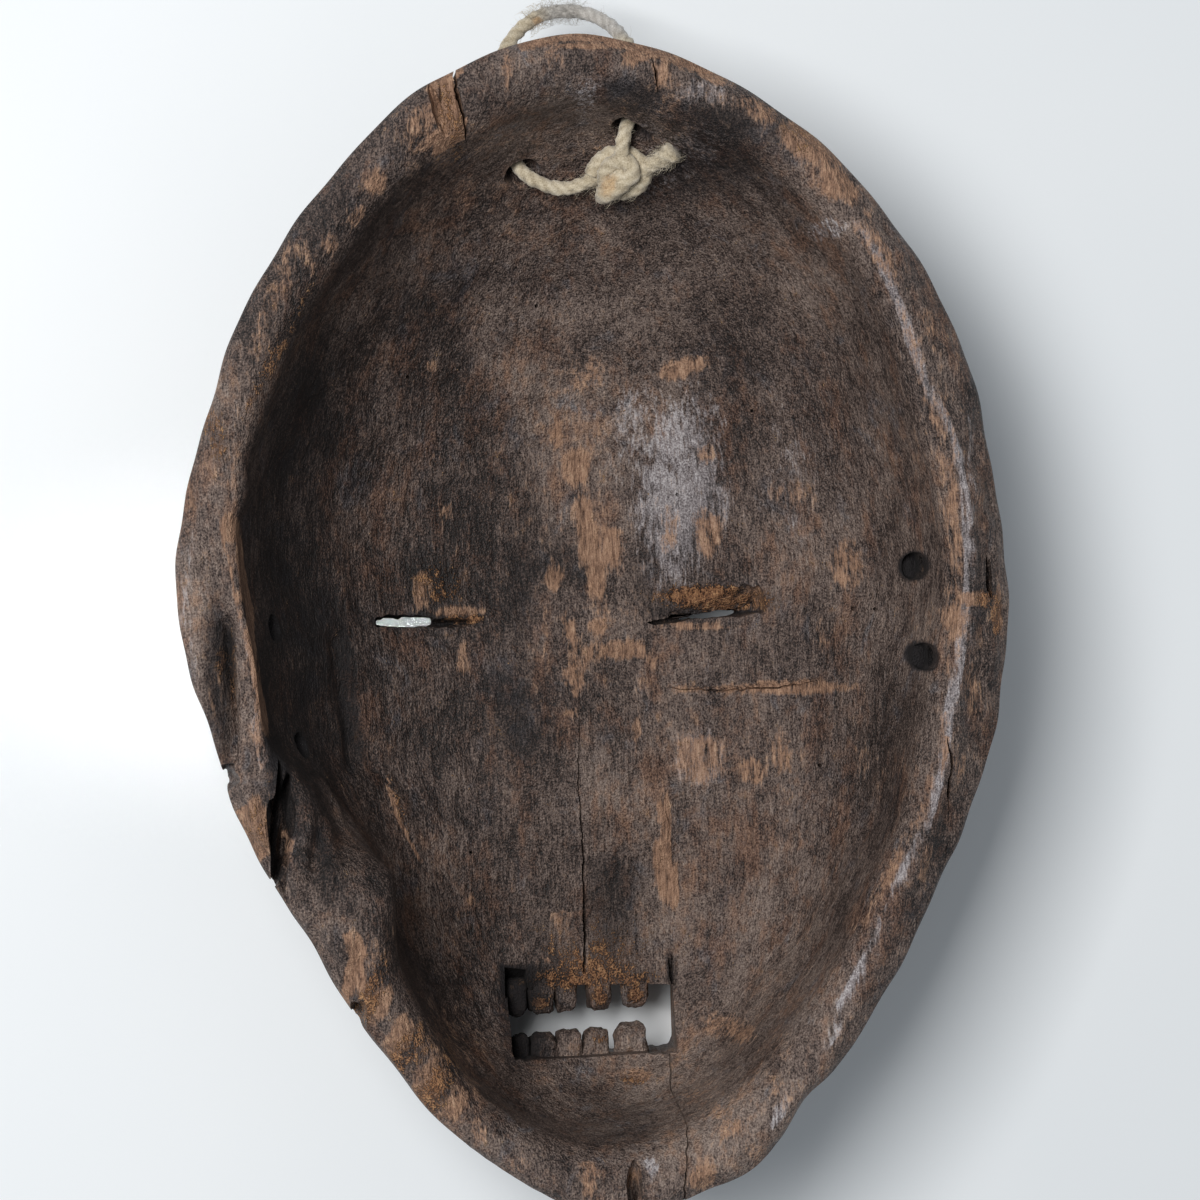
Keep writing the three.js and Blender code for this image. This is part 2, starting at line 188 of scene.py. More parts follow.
def framesAlong(path):
    # Tangent and two directions across the path that turn with it as little as possible
    tangent = np.gradient(path, axis=0)
    tangent /= np.linalg.norm(tangent, axis=1)[:, None]
    across = np.zeros_like(path)
    start = np.cross(tangent[0], [0.3, 0.2, 1.0])
    across[0] = start / np.linalg.norm(start)
    for k in range(1, len(path)):
        carried = across[k - 1] - tangent[k] * (across[k - 1] @ tangent[k])
        across[k] = carried / np.linalg.norm(carried)
    return tangent, across, np.cross(tangent, across)


cameraSizes = {
    "lens": 120, "sensor": 36, "distance": 1.0,
    "target": (-0.0005, 0.00599, 0.094),
    "lean": 6.6,  # degrees to the left of straight above
    "up": (0.0355, 0.9994, 0),
}


def addCamera(c):
    lean = math.radians(c["lean"])
    ahead = Vector((math.sin(lean), 0, -math.cos(lean)))
    right = ahead.cross(Vector(c["up"])).normalized()
    up = right.cross(ahead)
    data = bpy.data.cameras.new("camera")
    data.lens = c["lens"]
    data.sensor_width = c["sensor"]
    camera = bpy.data.objects.new("camera", data)
    turn = Matrix((right, up, -ahead)).transposed()
    camera.matrix_world = Matrix.Translation(Vector(c["target"]) - ahead * c["distance"]) @ turn.to_4x4()
    scene.collection.objects.link(camera)
    scene.camera = camera


addCamera(cameraSizes)
print("camera placed")


cordSizes = {
    "diameter": 3.6,
    "strands": 3,
    "lay": 9.5,  # mm for one turn of the strands
    "lobe": 0.1,  # how deep the valleys between strands are, as a share of the radius
    "around": 24,
    "step": 0.5,
    "hairs": 420,
    "hairLength": (1.0, 3.4),
    "hairRadius": 0.055,
    "hairLift": 1.1,
    "tuft": (0.475, 0.585, 520),  # where along the cord the grey frayed tuft starts and ends, and its fibres
    "hairReach": 3.7,  # furthest from the cord's middle
}
cordRoute = [
    (6.4, 115.2, 64), (2.6, 113.4, 62), (-0.9, 112.6, 61), (-4.6, 112.7, 61), (-7.7, 113.7, 61.1),
    (-10.6, 115.2, 60.9), (-12.7, 117.1, 59.9), (-14, 119.3, 58.4), (-15.1, 122.3, 55.9),
    (-16.7, 126.6, 52.3), (-18, 132, 48.2), (-18.5, 138.2, 44.6), (-17.3, 144.8, 41.8),
    (-14.4, 151.2, 39), (-10.2, 156.8, 36.4), (-4.6, 160.8, 34.6), (1.8, 162.2, 34.6),
    (8, 161, 37.2), (13, 157.6, 41.8), (16.2, 152.6, 47.6), (17.5, 147, 53.6), (17.3, 141.8, 59.4),
    (16.5, 137, 64.6), (15.5, 132.8, 68.3), (14.2, 129.4, 71.2), (13.2, 127, 72.5), (12.2, 124.1, 73.1),
    (11.7, 121.3, 72.6), (11.5, 118.9, 71.2), (11.5, 116.6, 69.3),
]
knotLoops = {
    # Centres of the strand that makes the knot, from where the cord comes in to where it goes out
    "turns": [
        (4.5, 115.4, 64.2), (6.6, 118.6, 65.4), (10, 120.4, 67.4), (14.2, 119.8, 69), (17, 117.4, 69.4),
        (17.6, 114.2, 68), (15.6, 111.8, 66.4), (12, 110.8, 65.4), (8.9, 112, 65.6), (7.7, 114.8, 67.2),
        (9.2, 117.4, 69.6), (12, 118, 71.4), (14.3, 116.2, 71.8), (13.4, 113.7, 70.8), (10.6, 113.2, 69.4),
    ],
    "wrap": [
        (16.6, 116.8, 66.8), (14.2, 114.4, 69.6), (11, 111.8, 69.8), (8.4, 110.2, 67.4), (7.6, 110.4, 63.8),
        (10.2, 112.6, 61.6), (14, 115.4, 62), (16.8, 117, 65),
    ],
    "free": [(14.6, 115.6, 68.4), (17.8, 116.4, 69.8), (20.6, 117.6, 71.8), (23, 118.8, 73.8), (24.8, 120, 75.4)],
    "tail": [(13, 114.6, 70.4), (10.6, 113.2, 69.4), (8.6, 111.8, 67.4), (7.4, 110.6, 65), (6.9, 109.8, 63)],
}
# Radius in mm of each strand of the knot, and how much it flares at its cut end
knotSizes = {"turns": (2.2, 0), "wrap": (2.3, 0), "free": (2.15, 0.42), "tail": (2.6, -0.4)}
cordStains = [(-5, 159.5, 2.2, 1.8, 1), (8, 112, 3.4, 3.6, 0.85)]  # x, y, half width, half length, strength


def strandTube(path, c, radius, seed, flare=0.0):
    # A tube round the path whose radius rises and falls with the strands, which turn along its length.
    # Also gives each point's angle round the turning strands.
    _, across, other = framesAlong(path)
    reach = np.concatenate([[0], np.cumsum(np.linalg.norm(np.diff(path, axis=0), axis=1))])
    turn = np.linspace(0, 2 * np.pi, c["around"], endpoint=False)[None, :]
    twist = 2 * np.pi * reach[:, None] / c["lay"]
    lobes = np.abs(np.cos(c["strands"] * (turn - twist) / 2)) ** 0.9
    size = radius * (1 - c["lobe"] + c["lobe"] * lobes)
    end = np.clip(reach / reach[-1], 0, 1)[:, None]
    size = size * (1 + flare * smooth(0.6, 1, end))
    centre = path[:, None, :]
    outward = np.cos(turn)[..., None] * across[:, None, :] + np.sin(turn)[..., None] * other[:, None, :]
    ring = centre + size[..., None] * outward
    rough = 0.12 * waves(ring, 4, seed + 2) + 0.1 * waves(ring, 1.7, seed) + 0.09 * waves(ring, 0.7, seed + 1)
    ring = ring + (ring - centre) / radius * rough[..., None] * (1 + 2 * flare * end[..., None])
    return closedLoft(ring), np.broadcast_to(turn - twist, size.shape).ravel()


def hairs(path, c, radius, seed, count, span=(0, 1), lifted=1.0):
    # Fine fibres that leave the cord's surface, each a thin three-sided tube along a short curve
    draw = np.random.default_rng(seed)
    tangent, across, other = framesAlong(path)
    at = draw.integers(2 + int(span[0] * len(path)), int(span[1] * len(path)) - 2, count)
    turn = draw.uniform(0, 2 * np.pi, count)
    out = np.cos(turn)[:, None] * across[at] + np.sin(turn)[:, None] * other[at]
    sideways = np.cross(tangent[at], out)
    reach = draw.uniform(*c["hairLength"], count)[:, None, None]
    lift = draw.uniform(0.1, 1, count)[:, None, None] * c["hairLift"] * lifted
    heading = tangent[at] * draw.choice([-1, 1], count)[:, None] + 0.8 * sideways * draw.normal(size=(count, 1))
    heading /= np.linalg.norm(heading, axis=1)[:, None]
    curl = np.cross(out, heading) * draw.normal(0, 0.5, (count, 1))
    t = np.linspace(0, 1, 6)[None, :, None]
    line = path[at][:, None] + out[:, None] * (radius * 0.86) + heading[:, None] * reach * t
    line = line + out[:, None] * lift * np.sin(t * 1.9) ** 1.2 + curl[:, None] * reach * t ** 2
    far = line - path[at][:, None]
    ahead = (far * tangent[at][:, None]).sum(-1, keepdims=True) * tangent[at][:, None]
    off = far - ahead
    off = off * np.minimum(1, c["hairReach"] / np.maximum(np.linalg.norm(off, axis=-1, keepdims=True), 0.1))
    line = path[at][:, None] + ahead + off
    side = np.cross(out, heading)[:, None, None]
    thin = c["hairRadius"] * (1 - 0.75 * t)[..., None]
    corner = np.linspace(0, 2 * np.pi, 3, endpoint=False)[None, None, :, None]
    ring = line[:, :, None] + thin * (np.cos(corner) * side + np.sin(corner) * out[:, None, None])
    rows = ring.shape[1]
    start = np.arange(count)[:, None, None] * rows * 3
    quads = (ringFaces(rows, 3)[None] + start).reshape(-1, 4)
    caps = np.array([[0, 2, 1], [rows * 3 - 3, rows * 3 - 2, rows * 3 - 1]])
    return ring.reshape(-1, 3), quads, (caps[None] + start).reshape(-1, 3)


def strandPiece(name, tubes, fibres):
    # One object from tubes and their fibres, with how far round its strand each point is, and its stains
    angles = [np.concatenate([angle, [0, 0]]) for _, angle in tubes] + [np.full(len(hair[0]), 2.0) for hair in fibres]
    piece = joinBodies(name, [body for body, _ in tubes] + fibres)
    setValues(piece, "turned", np.cos(cordSizes["strands"] * np.concatenate(angles)))
    x, y, _ = meshPoints(piece).T
    # Grey over the top right of the loop: partly frayed grey fibres, partly painted shade
    setValues(piece, "grey", smooth(-8, 0, x) * smooth(150, 156, y))
    stains = [share * np.exp(-((x - sx) / rx) ** 2 - ((y - sy) / ry) ** 2) for sx, sy, rx, ry, share in cordStains]
    setValues(piece, "stain", sum(stains))
    return piece


def evenPath(knots, step):
    # The smooth curve through the knots at about this step, and its length
    _, length = curveThrough(knots, 60)
    return curveThrough(knots, int(length / step))[0], length


def addCord(c):
    radius = c["diameter"] / 2
    path, length = evenPath(cordRoute, c["step"])
    begin, finish, fibres = c["tuft"]
    fluff = [hairs(path, c, radius, 5, c["hairs"]), hairs(path, c, radius, 6, fibres, (begin, finish), 3.2)]
    piece = strandPiece("hanging_cord_string", [strandTube(path, c, radius, 11)], fluff)
    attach(piece, "root")
    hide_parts("hanging_cord")
    return piece, curveThrough(cordRoute, 90)[0] * mm, length * mm


def addKnot(c):
    tubes, fluff = [], []
    for k, (name, (radius, flare)) in enumerate(knotSizes.items()):
        path, _ = evenPath(knotLoops[name], c["step"])
        tubes.append(strandTube(path, c, radius, 30 + k, flare))
        fluff.append(hairs(path, c, radius, 50 + k, 150))
        if flare > 0:
            fluff.append(hairs(path, c, radius * (1 + flare * 0.7), 70 + k, 140, (0.6, 1), 1.2))
    piece = strandPiece("cord_knot_string", tubes, fluff)
    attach(piece, "root")
    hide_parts("cord_knot")
    return piece


cordPiece, cordPath, cordLength = addCord(cordSizes)
knotPiece = addKnot(cordSizes)
print("cord and knot made, cord length", round(cordLength, 4))


bowl = {
    "rimHeight": 94, "depth": 78, "wall": 13, "innerDrop": 1.2, "outerDrop": 4.5,
    "faceRise": (11, 0, -38, 62, 46),  # height, x, y, half width, half length
    # Radii every 15 degrees, counterclockwise from +x
    "outer": [105.3, 107, 114, 122.2, 132.2, 141, 148.4, 142, 130, 119.6, 111.4, 107.8,
              104.8, 101.2, 103.4, 107.6, 119.2, 136.6, 148.4, 140, 123.6, 112.2, 106.3, 105],
    "inner": [92.5, 97, 101.5, 111, 122, 130.5, 135.5, 128, 118, 108.5, 99.5, 93.2,
              88.4, 88.6, 92.8, 97.2, 109, 127.5, 138, 130.5, 114.5, 102, 95.2, 91.4],
    # How widely the hollow's edge is rounded, in mm, and how much of that lies inside the edge
    "edgeRound": [6.5, 6.5, 6.5, 6.5, 7.5, 8.5, 9, 9, 8.5, 8, 7, 3, 1.2, 2, 11, 14, 9, 9, 11, 11, 9, 7.5, 6.5, 6.5],
    "edgeInward": [.8, .8, .8, .7, .5, .3, .2, .2, .3, .3, .2, .1, 0, .2, .9, .9, .6, .5, .5, .6, .7, .8, .8, .8],
    "inwardFades": 45,
    "grid": 190, "rimRows": 14, "spread": 0.92,
}
face = {
    "forehead": (7.6, 0, 42, 62, 50), "muzzle": (12, 0, -106, 46, 36),
    "cheek": (3.5, 52, -52, 26, 30), "eyeSocket": (-5, 37, 1, 26, 15),
    "nose": {"top": 15, "tip": -61, "topWidth": 14, "tipWidth": 35, "topHeight": 4, "tipHeight": 9.5},
    "brow": {"from": 9, "to": 66, "y": 15, "rise": 12, "height": 2.3, "width": 3.4},
    "lid": {"x": 37, "y": 2, "rx": 21, "ry": 9, "rz": 6.5},
    "grooves": (0.66, 0.74, 0.82),
}
mouth = {"x": 0.9, "y": -103.7}
# The mouth opening from front to back: level, left, right, bottom and top edge
mouthLevels = [
    (-4, -22.2, 26.6, -116.6, -94), (0.5, -21.8, 26, -116.4, -94.6), (3, -21.4, 25.4, -116.3, -95.4),
    (17, -21.6, 24.4, -115.8, -96.4), (24, -21.6, 23.4, -115.2, -96.8), (33, -21.7, 22.2, -114.4, -96.6),
    (48, -22, 21.8, -114, -95.6),
]
# Level, width and height of the lips' rings, from their worn front up
lipRings = [
    (0, 56.5, 32), (0.6, 61, 35.5), (2, 65.5, 39.5), (5, 68, 42), (9, 67.5, 41.5), (14, 70.5, 44), (20, 75, 48),
    (27, 82, 54),
]


def onCircle(values, angle):
    # A value from a list that runs evenly round the circle, on a smooth closed curve
    v = np.asarray(values, float)
    n = len(v)
    t = (np.asarray(angle) / (2 * np.pi) * n) % n
    i = np.floor(t).astype(int) % n
    return smoothStep(v[(i - 1) % n], v[i], v[(i + 1) % n], v[(i + 2) % n], t - np.floor(t))


def hump(form, x, y):
    height, cx, cy, rx, ry = form
    return height * np.exp(-((x - cx) / rx) ** 2 - ((y - cy) / ry) ** 2)


def atAngle(angle, degrees, half):
    # 1 in this direction, falling softly to 0 over the half width in degrees
    off = (np.degrees(angle) - degrees + 180) % 360 - 180
    return np.exp(-(off / half) ** 2)


def innerRadius(angle):
    return onCircle(bowl["inner"], angle) + 0.5 * np.sin(7 * angle + 1) + 0.3 * np.sin(17 * angle)


def edgeSteps(angle):
    # How far the knife left the hollow's edge outside (+) or inside (-) its curve, mostly at the lower left
    steps = 5.2 * atAngle(angle, 215.5, 5.5) - 5.5 * atAngle(angle, 230, 5) - 1.2 * atAngle(angle, 203, 3)
    return steps + 0.9 * atAngle(angle, 163, 3) - 1.2 * atAngle(angle, 157.5, 3)


def outerRadius(angle):
    radius = onCircle(bowl["outer"], angle)
    radius = radius + 2.2 * atAngle(angle, 284, 4) - 2.4 * atAngle(angle, 291.5, 3)  # a broken step by the chin
    return radius + 0.25 * np.sin(11 * angle) + 0.2 * np.sin(23 * angle + 2) + 0.15 * np.sin(41 * angle)


def section(share, angle):
    # Depth share of the bowl: full and steep at the sides and the forehead, squarer at the chin
    chin = np.clip(-np.sin(angle), 0, 1) ** 2
    return (1 - np.clip(share, 0, 1) ** (2.2 + 1.8 * chin)) ** (1 / (1.6 + 0.3 * chin))


def outerDrop(angle):
    # How far the outline lies below the rim's crest
    return bowl["outerDrop"] + 4.5 * atAngle(angle, 5, 50)


def bowlHeight(x, y, radius, drop, depth):
    angle = np.arctan2(y, x)
    drop = drop(angle) if callable(drop) else drop
    share = np.hypot(x, y) / radius(angle)
    return bowl["rimHeight"] - drop - (depth - hump(bowl["faceRise"], x, y) - drop) * section(share, angle)


def roundedEdge(radius, angle, below):
    # The radius of a point of the hollow this far below its edge, once the edge is rounded over a quarter circle
    size = onCircle(bowl["edgeRound"], angle)
    over = size * (1 - np.sqrt(1 - np.clip(1 - below / size, 0, 1) ** 2))
    inward = size * onCircle(bowl["edgeInward"], angle) * (1 - smooth(0, 1, (below - size) / bowl["inwardFades"]))
    return radius + over - inward + edgeSteps(angle) * (1 - smooth(8, 30, below))


def innerHeight(x, y):
    return bowlHeight(x, y, innerRadius, bowl["innerDrop"], bowl["depth"])


def plainOuter(x, y):
    # The outside of the bowl with the face's large soft mounds
    z = bowlHeight(x, y, outerRadius, outerDrop, bowl["depth"] + bowl["wall"])
    for name in ("forehead", "muzzle"):
        z = z - hump(face[name], x, y)
    for name in ("cheek", "eyeSocket"):
        z = z - hump(face[name], np.abs(x), y)
    return z


def lower(a, b, soft):
    # The lower of two heights, rounded where they cross
    share = np.clip(0.5 + 0.5 * (a - b) / soft, 0, 1)
    return a + (b - a) * share - soft * share * (1 - share)


def outerHeight(x, y):
    # The outside with nose, lids and brows, which lie lower because the mask lies on its face
    z = plainOuter(x, y)
    nose = face["nose"]
    share = (nose["top"] - y) / (nose["top"] - nose["tip"])
    inside = np.clip(share, 0, 1)
    end = np.sqrt(np.clip(1 - np.abs(2 * inside - 1) ** 8, 0, 1))
    half = (nose["topWidth"] + (nose["tipWidth"] - nose["topWidth"]) * inside ** 2.4) * end / 2 + 0.01
    tall = (nose["topHeight"] + (nose["tipHeight"] - nose["topHeight"]) * inside) * end + 5
    dome = np.clip(1 - (x / half) ** 2, 0, 1)
    ridge = plainOuter(0 * x, y) + 5 - tall * dome ** 0.5
    ridge = np.where((share >= 0) & (share <= 1) & (dome > 0), ridge, 200)
    z = lower(z, ridge, 1.6)
    wing = (np.hypot((np.abs(x) - 11.5) / 5.2, (y + 53) / 6.4))
    z = z - 1.8 * np.clip(1 - wing ** 2, 0, 1)
    lid = face["lid"]
    middle = plainOuter(np.array(lid["x"]), np.array(lid["y"])) + lid["rz"] / 2
    bulge = 1 - ((np.abs(x) - lid["x"]) / lid["rx"]) ** 2 - ((y - lid["y"]) / lid["ry"]) ** 2
    z = lower(z, np.where(bulge > 0, middle - lid["rz"] * np.sqrt(np.clip(bulge, 0, 1)), 200), 1.4)
    return z


def outerRelief(x, y):
    # Raised (+) and cut (-) forms of the front: brows, forehead grooves, cheek lines
    brow = face["brow"]
    share = np.linspace(0, 1, 15)
    out, up = brow["to"] - brow["from"], brow["rise"] * np.sin(share * 0.8 * np.pi)
    line = np.stack([brow["from"] + out * share, brow["y"] + up], -1)
    far, along, _ = lineDistance(np.abs(x), y, line)
    raised = brow["height"] * (1 - 0.6 * (2 * along - 1) ** 4)
    raised = raised * np.clip(1 - (far / brow["width"]) ** 2, 0, 1) ** 0.7
    angle = np.arctan2(y, x)
    part = np.hypot(x, y) / outerRadius(angle)
    reach = smooth(36, 42, np.degrees(angle)) * (1 - smooth(138, 144, np.degrees(angle)))
    for groove in face["grooves"]:
        off = (part - groove) * outerRadius(angle)
        raised = raised - 1.3 * reach * np.exp(-(off / 1.5) ** 2)
    for k in range(3):
        centre = np.hypot(np.abs(x) - 52, y + 50) - (14 + 5.5 * k)
        fan = smooth(0, 8, np.abs(x) - 46 - 2 * k) * smooth(-6, 2, -(y + 40)) * (1 - smooth(-6, 4, -(y + 74)))
        raised = raised - 0.9 * fan * np.exp(-(centre / 1.2) ** 2)
    return raised


def discGrid(n):
    # A square grid laid over the unit disc with even cells: radius share and angle of each point
    u, v = np.meshgrid(np.linspace(-1, 1, n + 1), np.linspace(-1, 1, n + 1), indexing="ij")
    wide = np.abs(u) > np.abs(v)
    safeU, safeV = np.where(u == 0, 1, u), np.where(v == 0, 1, v)
    radius = np.where(wide, u, v)
    turn = np.where(wide, np.pi / 4 * v / safeU, np.pi / 2 - np.pi / 4 * u / safeV)
    return np.abs(radius), np.arctan2(radius * np.sin(turn), radius * np.cos(turn))


def shellGrid():
    # Points and faces of the bowl: inside, rim strip and outside, joined along shared rings
    n = bowl["grid"]
    step, angle = discGrid(n)
    share = np.sin(step * np.pi / 2) ** bowl["spread"]
    edge = np.flatnonzero((step > 1 - 1e-9).ravel())
    edge = edge[np.argsort(angle.ravel()[edge] % (2 * np.pi))]
    number = np.arange((n + 1) ** 2).reshape(n + 1, n + 1)
    quads = np.stack([number[:-1, :-1], number[1:, :-1], number[1:, 1:], number[:-1, 1:]], -1).reshape(-1, 4)
    sides = []
    for radius, height in ((innerRadius, innerHeight), (outerRadius, outerHeight)):
        r = share * radius(angle)
        z = height(r * np.cos(angle), r * np.sin(angle))
        if radius is innerRadius:
            below = bowl["rimHeight"] - bowl["innerDrop"] - z
            r = np.where(share > 0.3, roundedEdge(r, angle, below), r)
        sides.append(np.stack([r * np.cos(angle), r * np.sin(angle), z], -1).reshape(-1, 3))
    rows = bowl["rimRows"]
    turn = angle.ravel()[edge]
    t = (np.arange(1, rows) / rows)[:, None]
    inner, outer = roundedEdge(innerRadius(turn), turn, 0)[None], outerRadius(turn)[None]
    r = inner + (outer - inner) * t
    top = bowl["rimHeight"] - bowl["innerDrop"]
    curve = 1.9 - 0.8 * atAngle(turn, 0, 55)
    z = top - (outerDrop(turn) - bowl["innerDrop"]) * t ** curve + 0.5 * np.sin(np.pi * t) * atAngle(turn, 195, 45)
    rim = np.stack([r * np.cos(turn), r * np.sin(turn), z], -1).reshape(-1, 3)
    count, total = len(edge), len(sides[0])
    middle = 2 * total + np.arange((rows - 1) * count).reshape(rows - 1, count)
    rings = np.concatenate([edge[None], middle, total + edge[None]])
    ahead = np.roll(rings, -1, axis=1)
    strip = np.stack([rings[:-1], rings[1:], ahead[1:], ahead[:-1]], -1).reshape(-1, 4)
    points = np.concatenate([sides[0], sides[1], rim])
    part = np.concatenate([np.zeros(total), np.full(total, 2), np.full(len(rim), 1)])
    part[edge] = part[total + edge] = 1
    shares = np.concatenate([share.ravel(), share.ravel(), np.ones(len(rim))])
    across = np.concatenate([np.zeros(total), np.ones(total), np.broadcast_to(t, r.shape).ravel()])
    return points, np.concatenate([quads, quads[:, ::-1] + total, strip]), part, shares, across


def adzeCuts(x, y, seed, count, long, wide, deep, reach, tilt=0.35):
    # Shallow scoops: each lowers the surface most in its middle, and the deepest one wins at every point
    draw = np.random.default_rng(seed)
    lowest = np.zeros(x.shape)
    for cx, cy, turn, a, b, d in zip(
            draw.uniform(-reach[0], reach[0], count), draw.uniform(-reach[1], reach[1], count),
            draw.normal(0, tilt, count), draw.uniform(*long, count),
            draw.uniform(*wide, count), draw.uniform(*deep, count)):
        u = (x - cx) * np.sin(turn) + (y - cy) * np.cos(turn)
        v = (x - cx) * np.cos(turn) - (y - cy) * np.sin(turn)
        lowest = np.minimum(lowest, -d * (1 - (u / a) ** 2 - (v / b) ** 2))
    return lowest


# Lines on the inside: points, height of the left side over the right, ridge height, groove depth, half width
innerLines = [
    ([(22.9, -43), (23.5, -53.4), (23.2, -60.1), (25, -68.2), (24.9, -78)], -1.3, 0.5, 0, 1.1),
    ([(-63.4, 2), (-62.7, -6), (-61.2, -17.8), (-59.7, -29.6), (-58.4, -36.6)], 0.8, 0, 2.6, 2.2),
    ([(-63.3, -36.6), (-58.6, -36.6), (-53.5, -36.2)], -1.2, 0, 0.6, 1.2),
    ([(24.9, -18.4), (38.5, -19.2), (53.7, -18.8), (66, -17.2)], 0.5, 0, 0.7, 0.9),
    ([(-14.6, 24), (-14.3, 9.5), (-13.4, -3)], -0.6, 0, 0.3, 1.0),
    ([(-52, -37), (-48, -48), (-43.5, -62)], 0, 0.7, 0, 1.1),
    ([(-75.9, -37), (-71.1, -42.3), (-67.4, -54.5), (-62.3, -67.3), (-54, -86), (-44, -103)], 0.5, 1.3, 0, 1.1),
    ([(-72, -34), (-66.8, -44), (-62, -58), (-57, -70)], -0.3, 0.8, 0, 0.9),
    ([(-79, -40), (-74, -52), (-66, -72), (-57, -90)], -0.5, 0, 1.3, 1.3),
    ([(-70, -58), (-65, -72), (-58, -84)], 0, 0.8, 0, 0.9), ([(20, 62), (35.4, 67.5), (51, 70.5)], -0.7, 0, 0, 1.4),
    ([(1, -8.8), (10, -7.0), (20.7, -6.8), (24, -10)], 0.5, 0, 0.3, 0.9),
    ([(30, 36), (31, 26), (34, 14)], 0.35, 0, 0, 1.2), ([(30.1, -30), (32.1, -48.4), (33, -60)], -0.3, 0, 0.2, 1.2),
    ([(-27, -50), (-24, -66), (-25, -84)], -0.35, 0, 0, 2.0),
]
rimLines = [
    ([(-93.4, 22), (-94.6, 8), (-95.2, -6), (-94.8, -24), (-92, -38)], 0, 0, 2.0, 3.0),
    ([(-93, 7), (-93.4, 0), (-93.8, -8), (-93.6, -16), (-94.6, -26), (-94.8, -34)], 0, 0, 5.5, 1.5),
    ([(-98.4, -4), (-99.2, -12), (-98.8, -22)], 0, 0.9, 1.6, 1.3),
    ([(-99.5, 26), (-101.3, 10), (-101, -8), (-98.5, -22)], 0, 0.9, 0, 1.5),
    ([(-89.5, 26), (-87.6, 8), (-86.6, -12), (-85.6, -30)], 0, 0.7, 0, 1.2),
    ([(-90.5, -36), (-86, -50), (-80.5, -62)], 0, 0.8, 0, 1.6),
    ([(-76, -58), (-70, -70), (-62, -86), (-52, -102)], 0, 0.9, 0, 2.2),
    ([(-72, -62), (-68, -76), (-60, -90)], 0, 0, 0.8, 1.8), ([(-45, 118), (-40, 124), (-36, 132)], 0, 0, 0.7, 1.6),
    ([(60, 104), (76, 84), (88, 60), (94, 36), (96.5, 14), (96, -14), (91, -40), (82, -66), (70, -92)], 0, 0, 0.5, 3.0),
]
# Lumps (+) and pits (-) where the lower left was hacked: x, y, half width, half length, lean, height
lumps = [
    (-76, -48, 2.2, 7, 8, 2.2), (-71, -50, 2.0, 6, -14, 2.4), (-73.5, -57, 1.2, 3.4, 0, -3.2),
    (-69.5, -60, 2.4, 3.2, 10, 1.8), (-78, -60, 2.2, 5, 10, 1.6), (-66, -66, 3.2, 2.4, 0, 1.2),
    (-79.5, -47, 1.3, 12, 4, -2.2),
]


def linesRelief(x, y, lines):
    # Steps, ridges and grooves along lines, each fading at its ends
    height = np.zeros(x.shape)
    for line, step, ridge, groove, half in lines:
        far, along, side = lineDistance(x, y, line)
        fade = smooth(0, 0.12, along) * (1 - smooth(0.88, 1, along))
        rise = side * np.exp(-(far / (half * 7)) ** 2) * smooth(0, half, far) / 2
        height = height + fade * (step * rise + (ridge - groove) * np.exp(-(far / half) ** 2))
    return height


def relief(points, part, share, across):
    # How far each point moves along its normal, in mm
    x, y = points[:, 0], points[:, 1]
    angle = np.arctan2(y, x)
    calm = 1 - smooth(0.93, 1, share)
    inside = np.where(part == 0, calm, 0)
    outside = np.where(part == 2, calm, 0)
    rim = np.where(part == 1, np.sin(np.pi * across), 0)
    leftRim = atAngle(angle, 195, 38)
    rough = 0.5 * waves(points, 44, 1) + 0.22 * waves(points, 17, 2)
    fine = waves(points, 6, 3, 40)
    cuts = adzeCuts(x, y, 4, 150, (12, 26), (7, 12), (0.35, 1.0), (100, 140))
    height = inside * (rough + 0.12 * fine + cuts + linesRelief(x, y, innerLines))
    gum = np.exp(-((x + 0.5) / 21) ** 8) * smooth(-87.5, -96, y) * (1 - smooth(-99, -104, y))
    height = height + inside * gum * (0.9 * waves(points, 5, 6, 40) - 2.0)
    chin = smooth(100, 112, -y) * inside
    height = height - chin * cuts * 0.6
    height = height + rim * (0.45 * waves(points, 15, 7) + 0.22 * waves(points, 6, 8, 40))
    height = height + rim * leftRim * (0.7 * waves(points, 9, 9, 40, (1, 2.2, 1)) - 0.3)
    height = height + rim * linesRelief(x, y, rimLines)
    for x0, y0, across0, along0, lean, tall in lumps:
        u, v = turned(x - x0, y - y0, lean)
        height = height + np.where(part < 2, tall, 0) * np.exp(-(u / across0) ** 2 - (v / along0) ** 2)
    lowerLeft = atAngle(angle, 222, 16)
    height = height + rim * lowerLeft * 1.0 * waves(points, 8, 10, 40, (1, 1.8, 1))
    front = adzeCuts(x, y, 12, 220, (9, 18), (5, 9), (0.1, 0.35), (100, 145))
    flat = smooth(0.2, 1.4, points[:, 2])
    height = height + outside * flat * (0.35 * waves(points, 40, 13) + 0.06 * fine + front + outerRelief(x, y))
    return height


def floorHeight(x, y):
    # The hollow's height with its relief, where it is nearly level
    x, y = np.atleast_1d(np.asarray(x, float)), np.atleast_1d(np.asarray(y, float))
    z = innerHeight(x, y)
    share = np.hypot(x, y) / innerRadius(np.arctan2(y, x))
    return z + relief(np.stack([x, y, z], -1), np.zeros(len(x)), share, np.zeros(len(x)))


def faceNormals(points, quads):
    # Each point's normal as the mean of the faces round it
    a, b, c, d = (points[quads[:, k]] for k in range(4))
    normal = np.cross(c - a, d - b)
    total = np.zeros_like(points)
    for k in range(4):
        np.add.at(total, quads[:, k], normal)
    return total / np.maximum(np.linalg.norm(total, axis=1), 1e-9)[:, None]


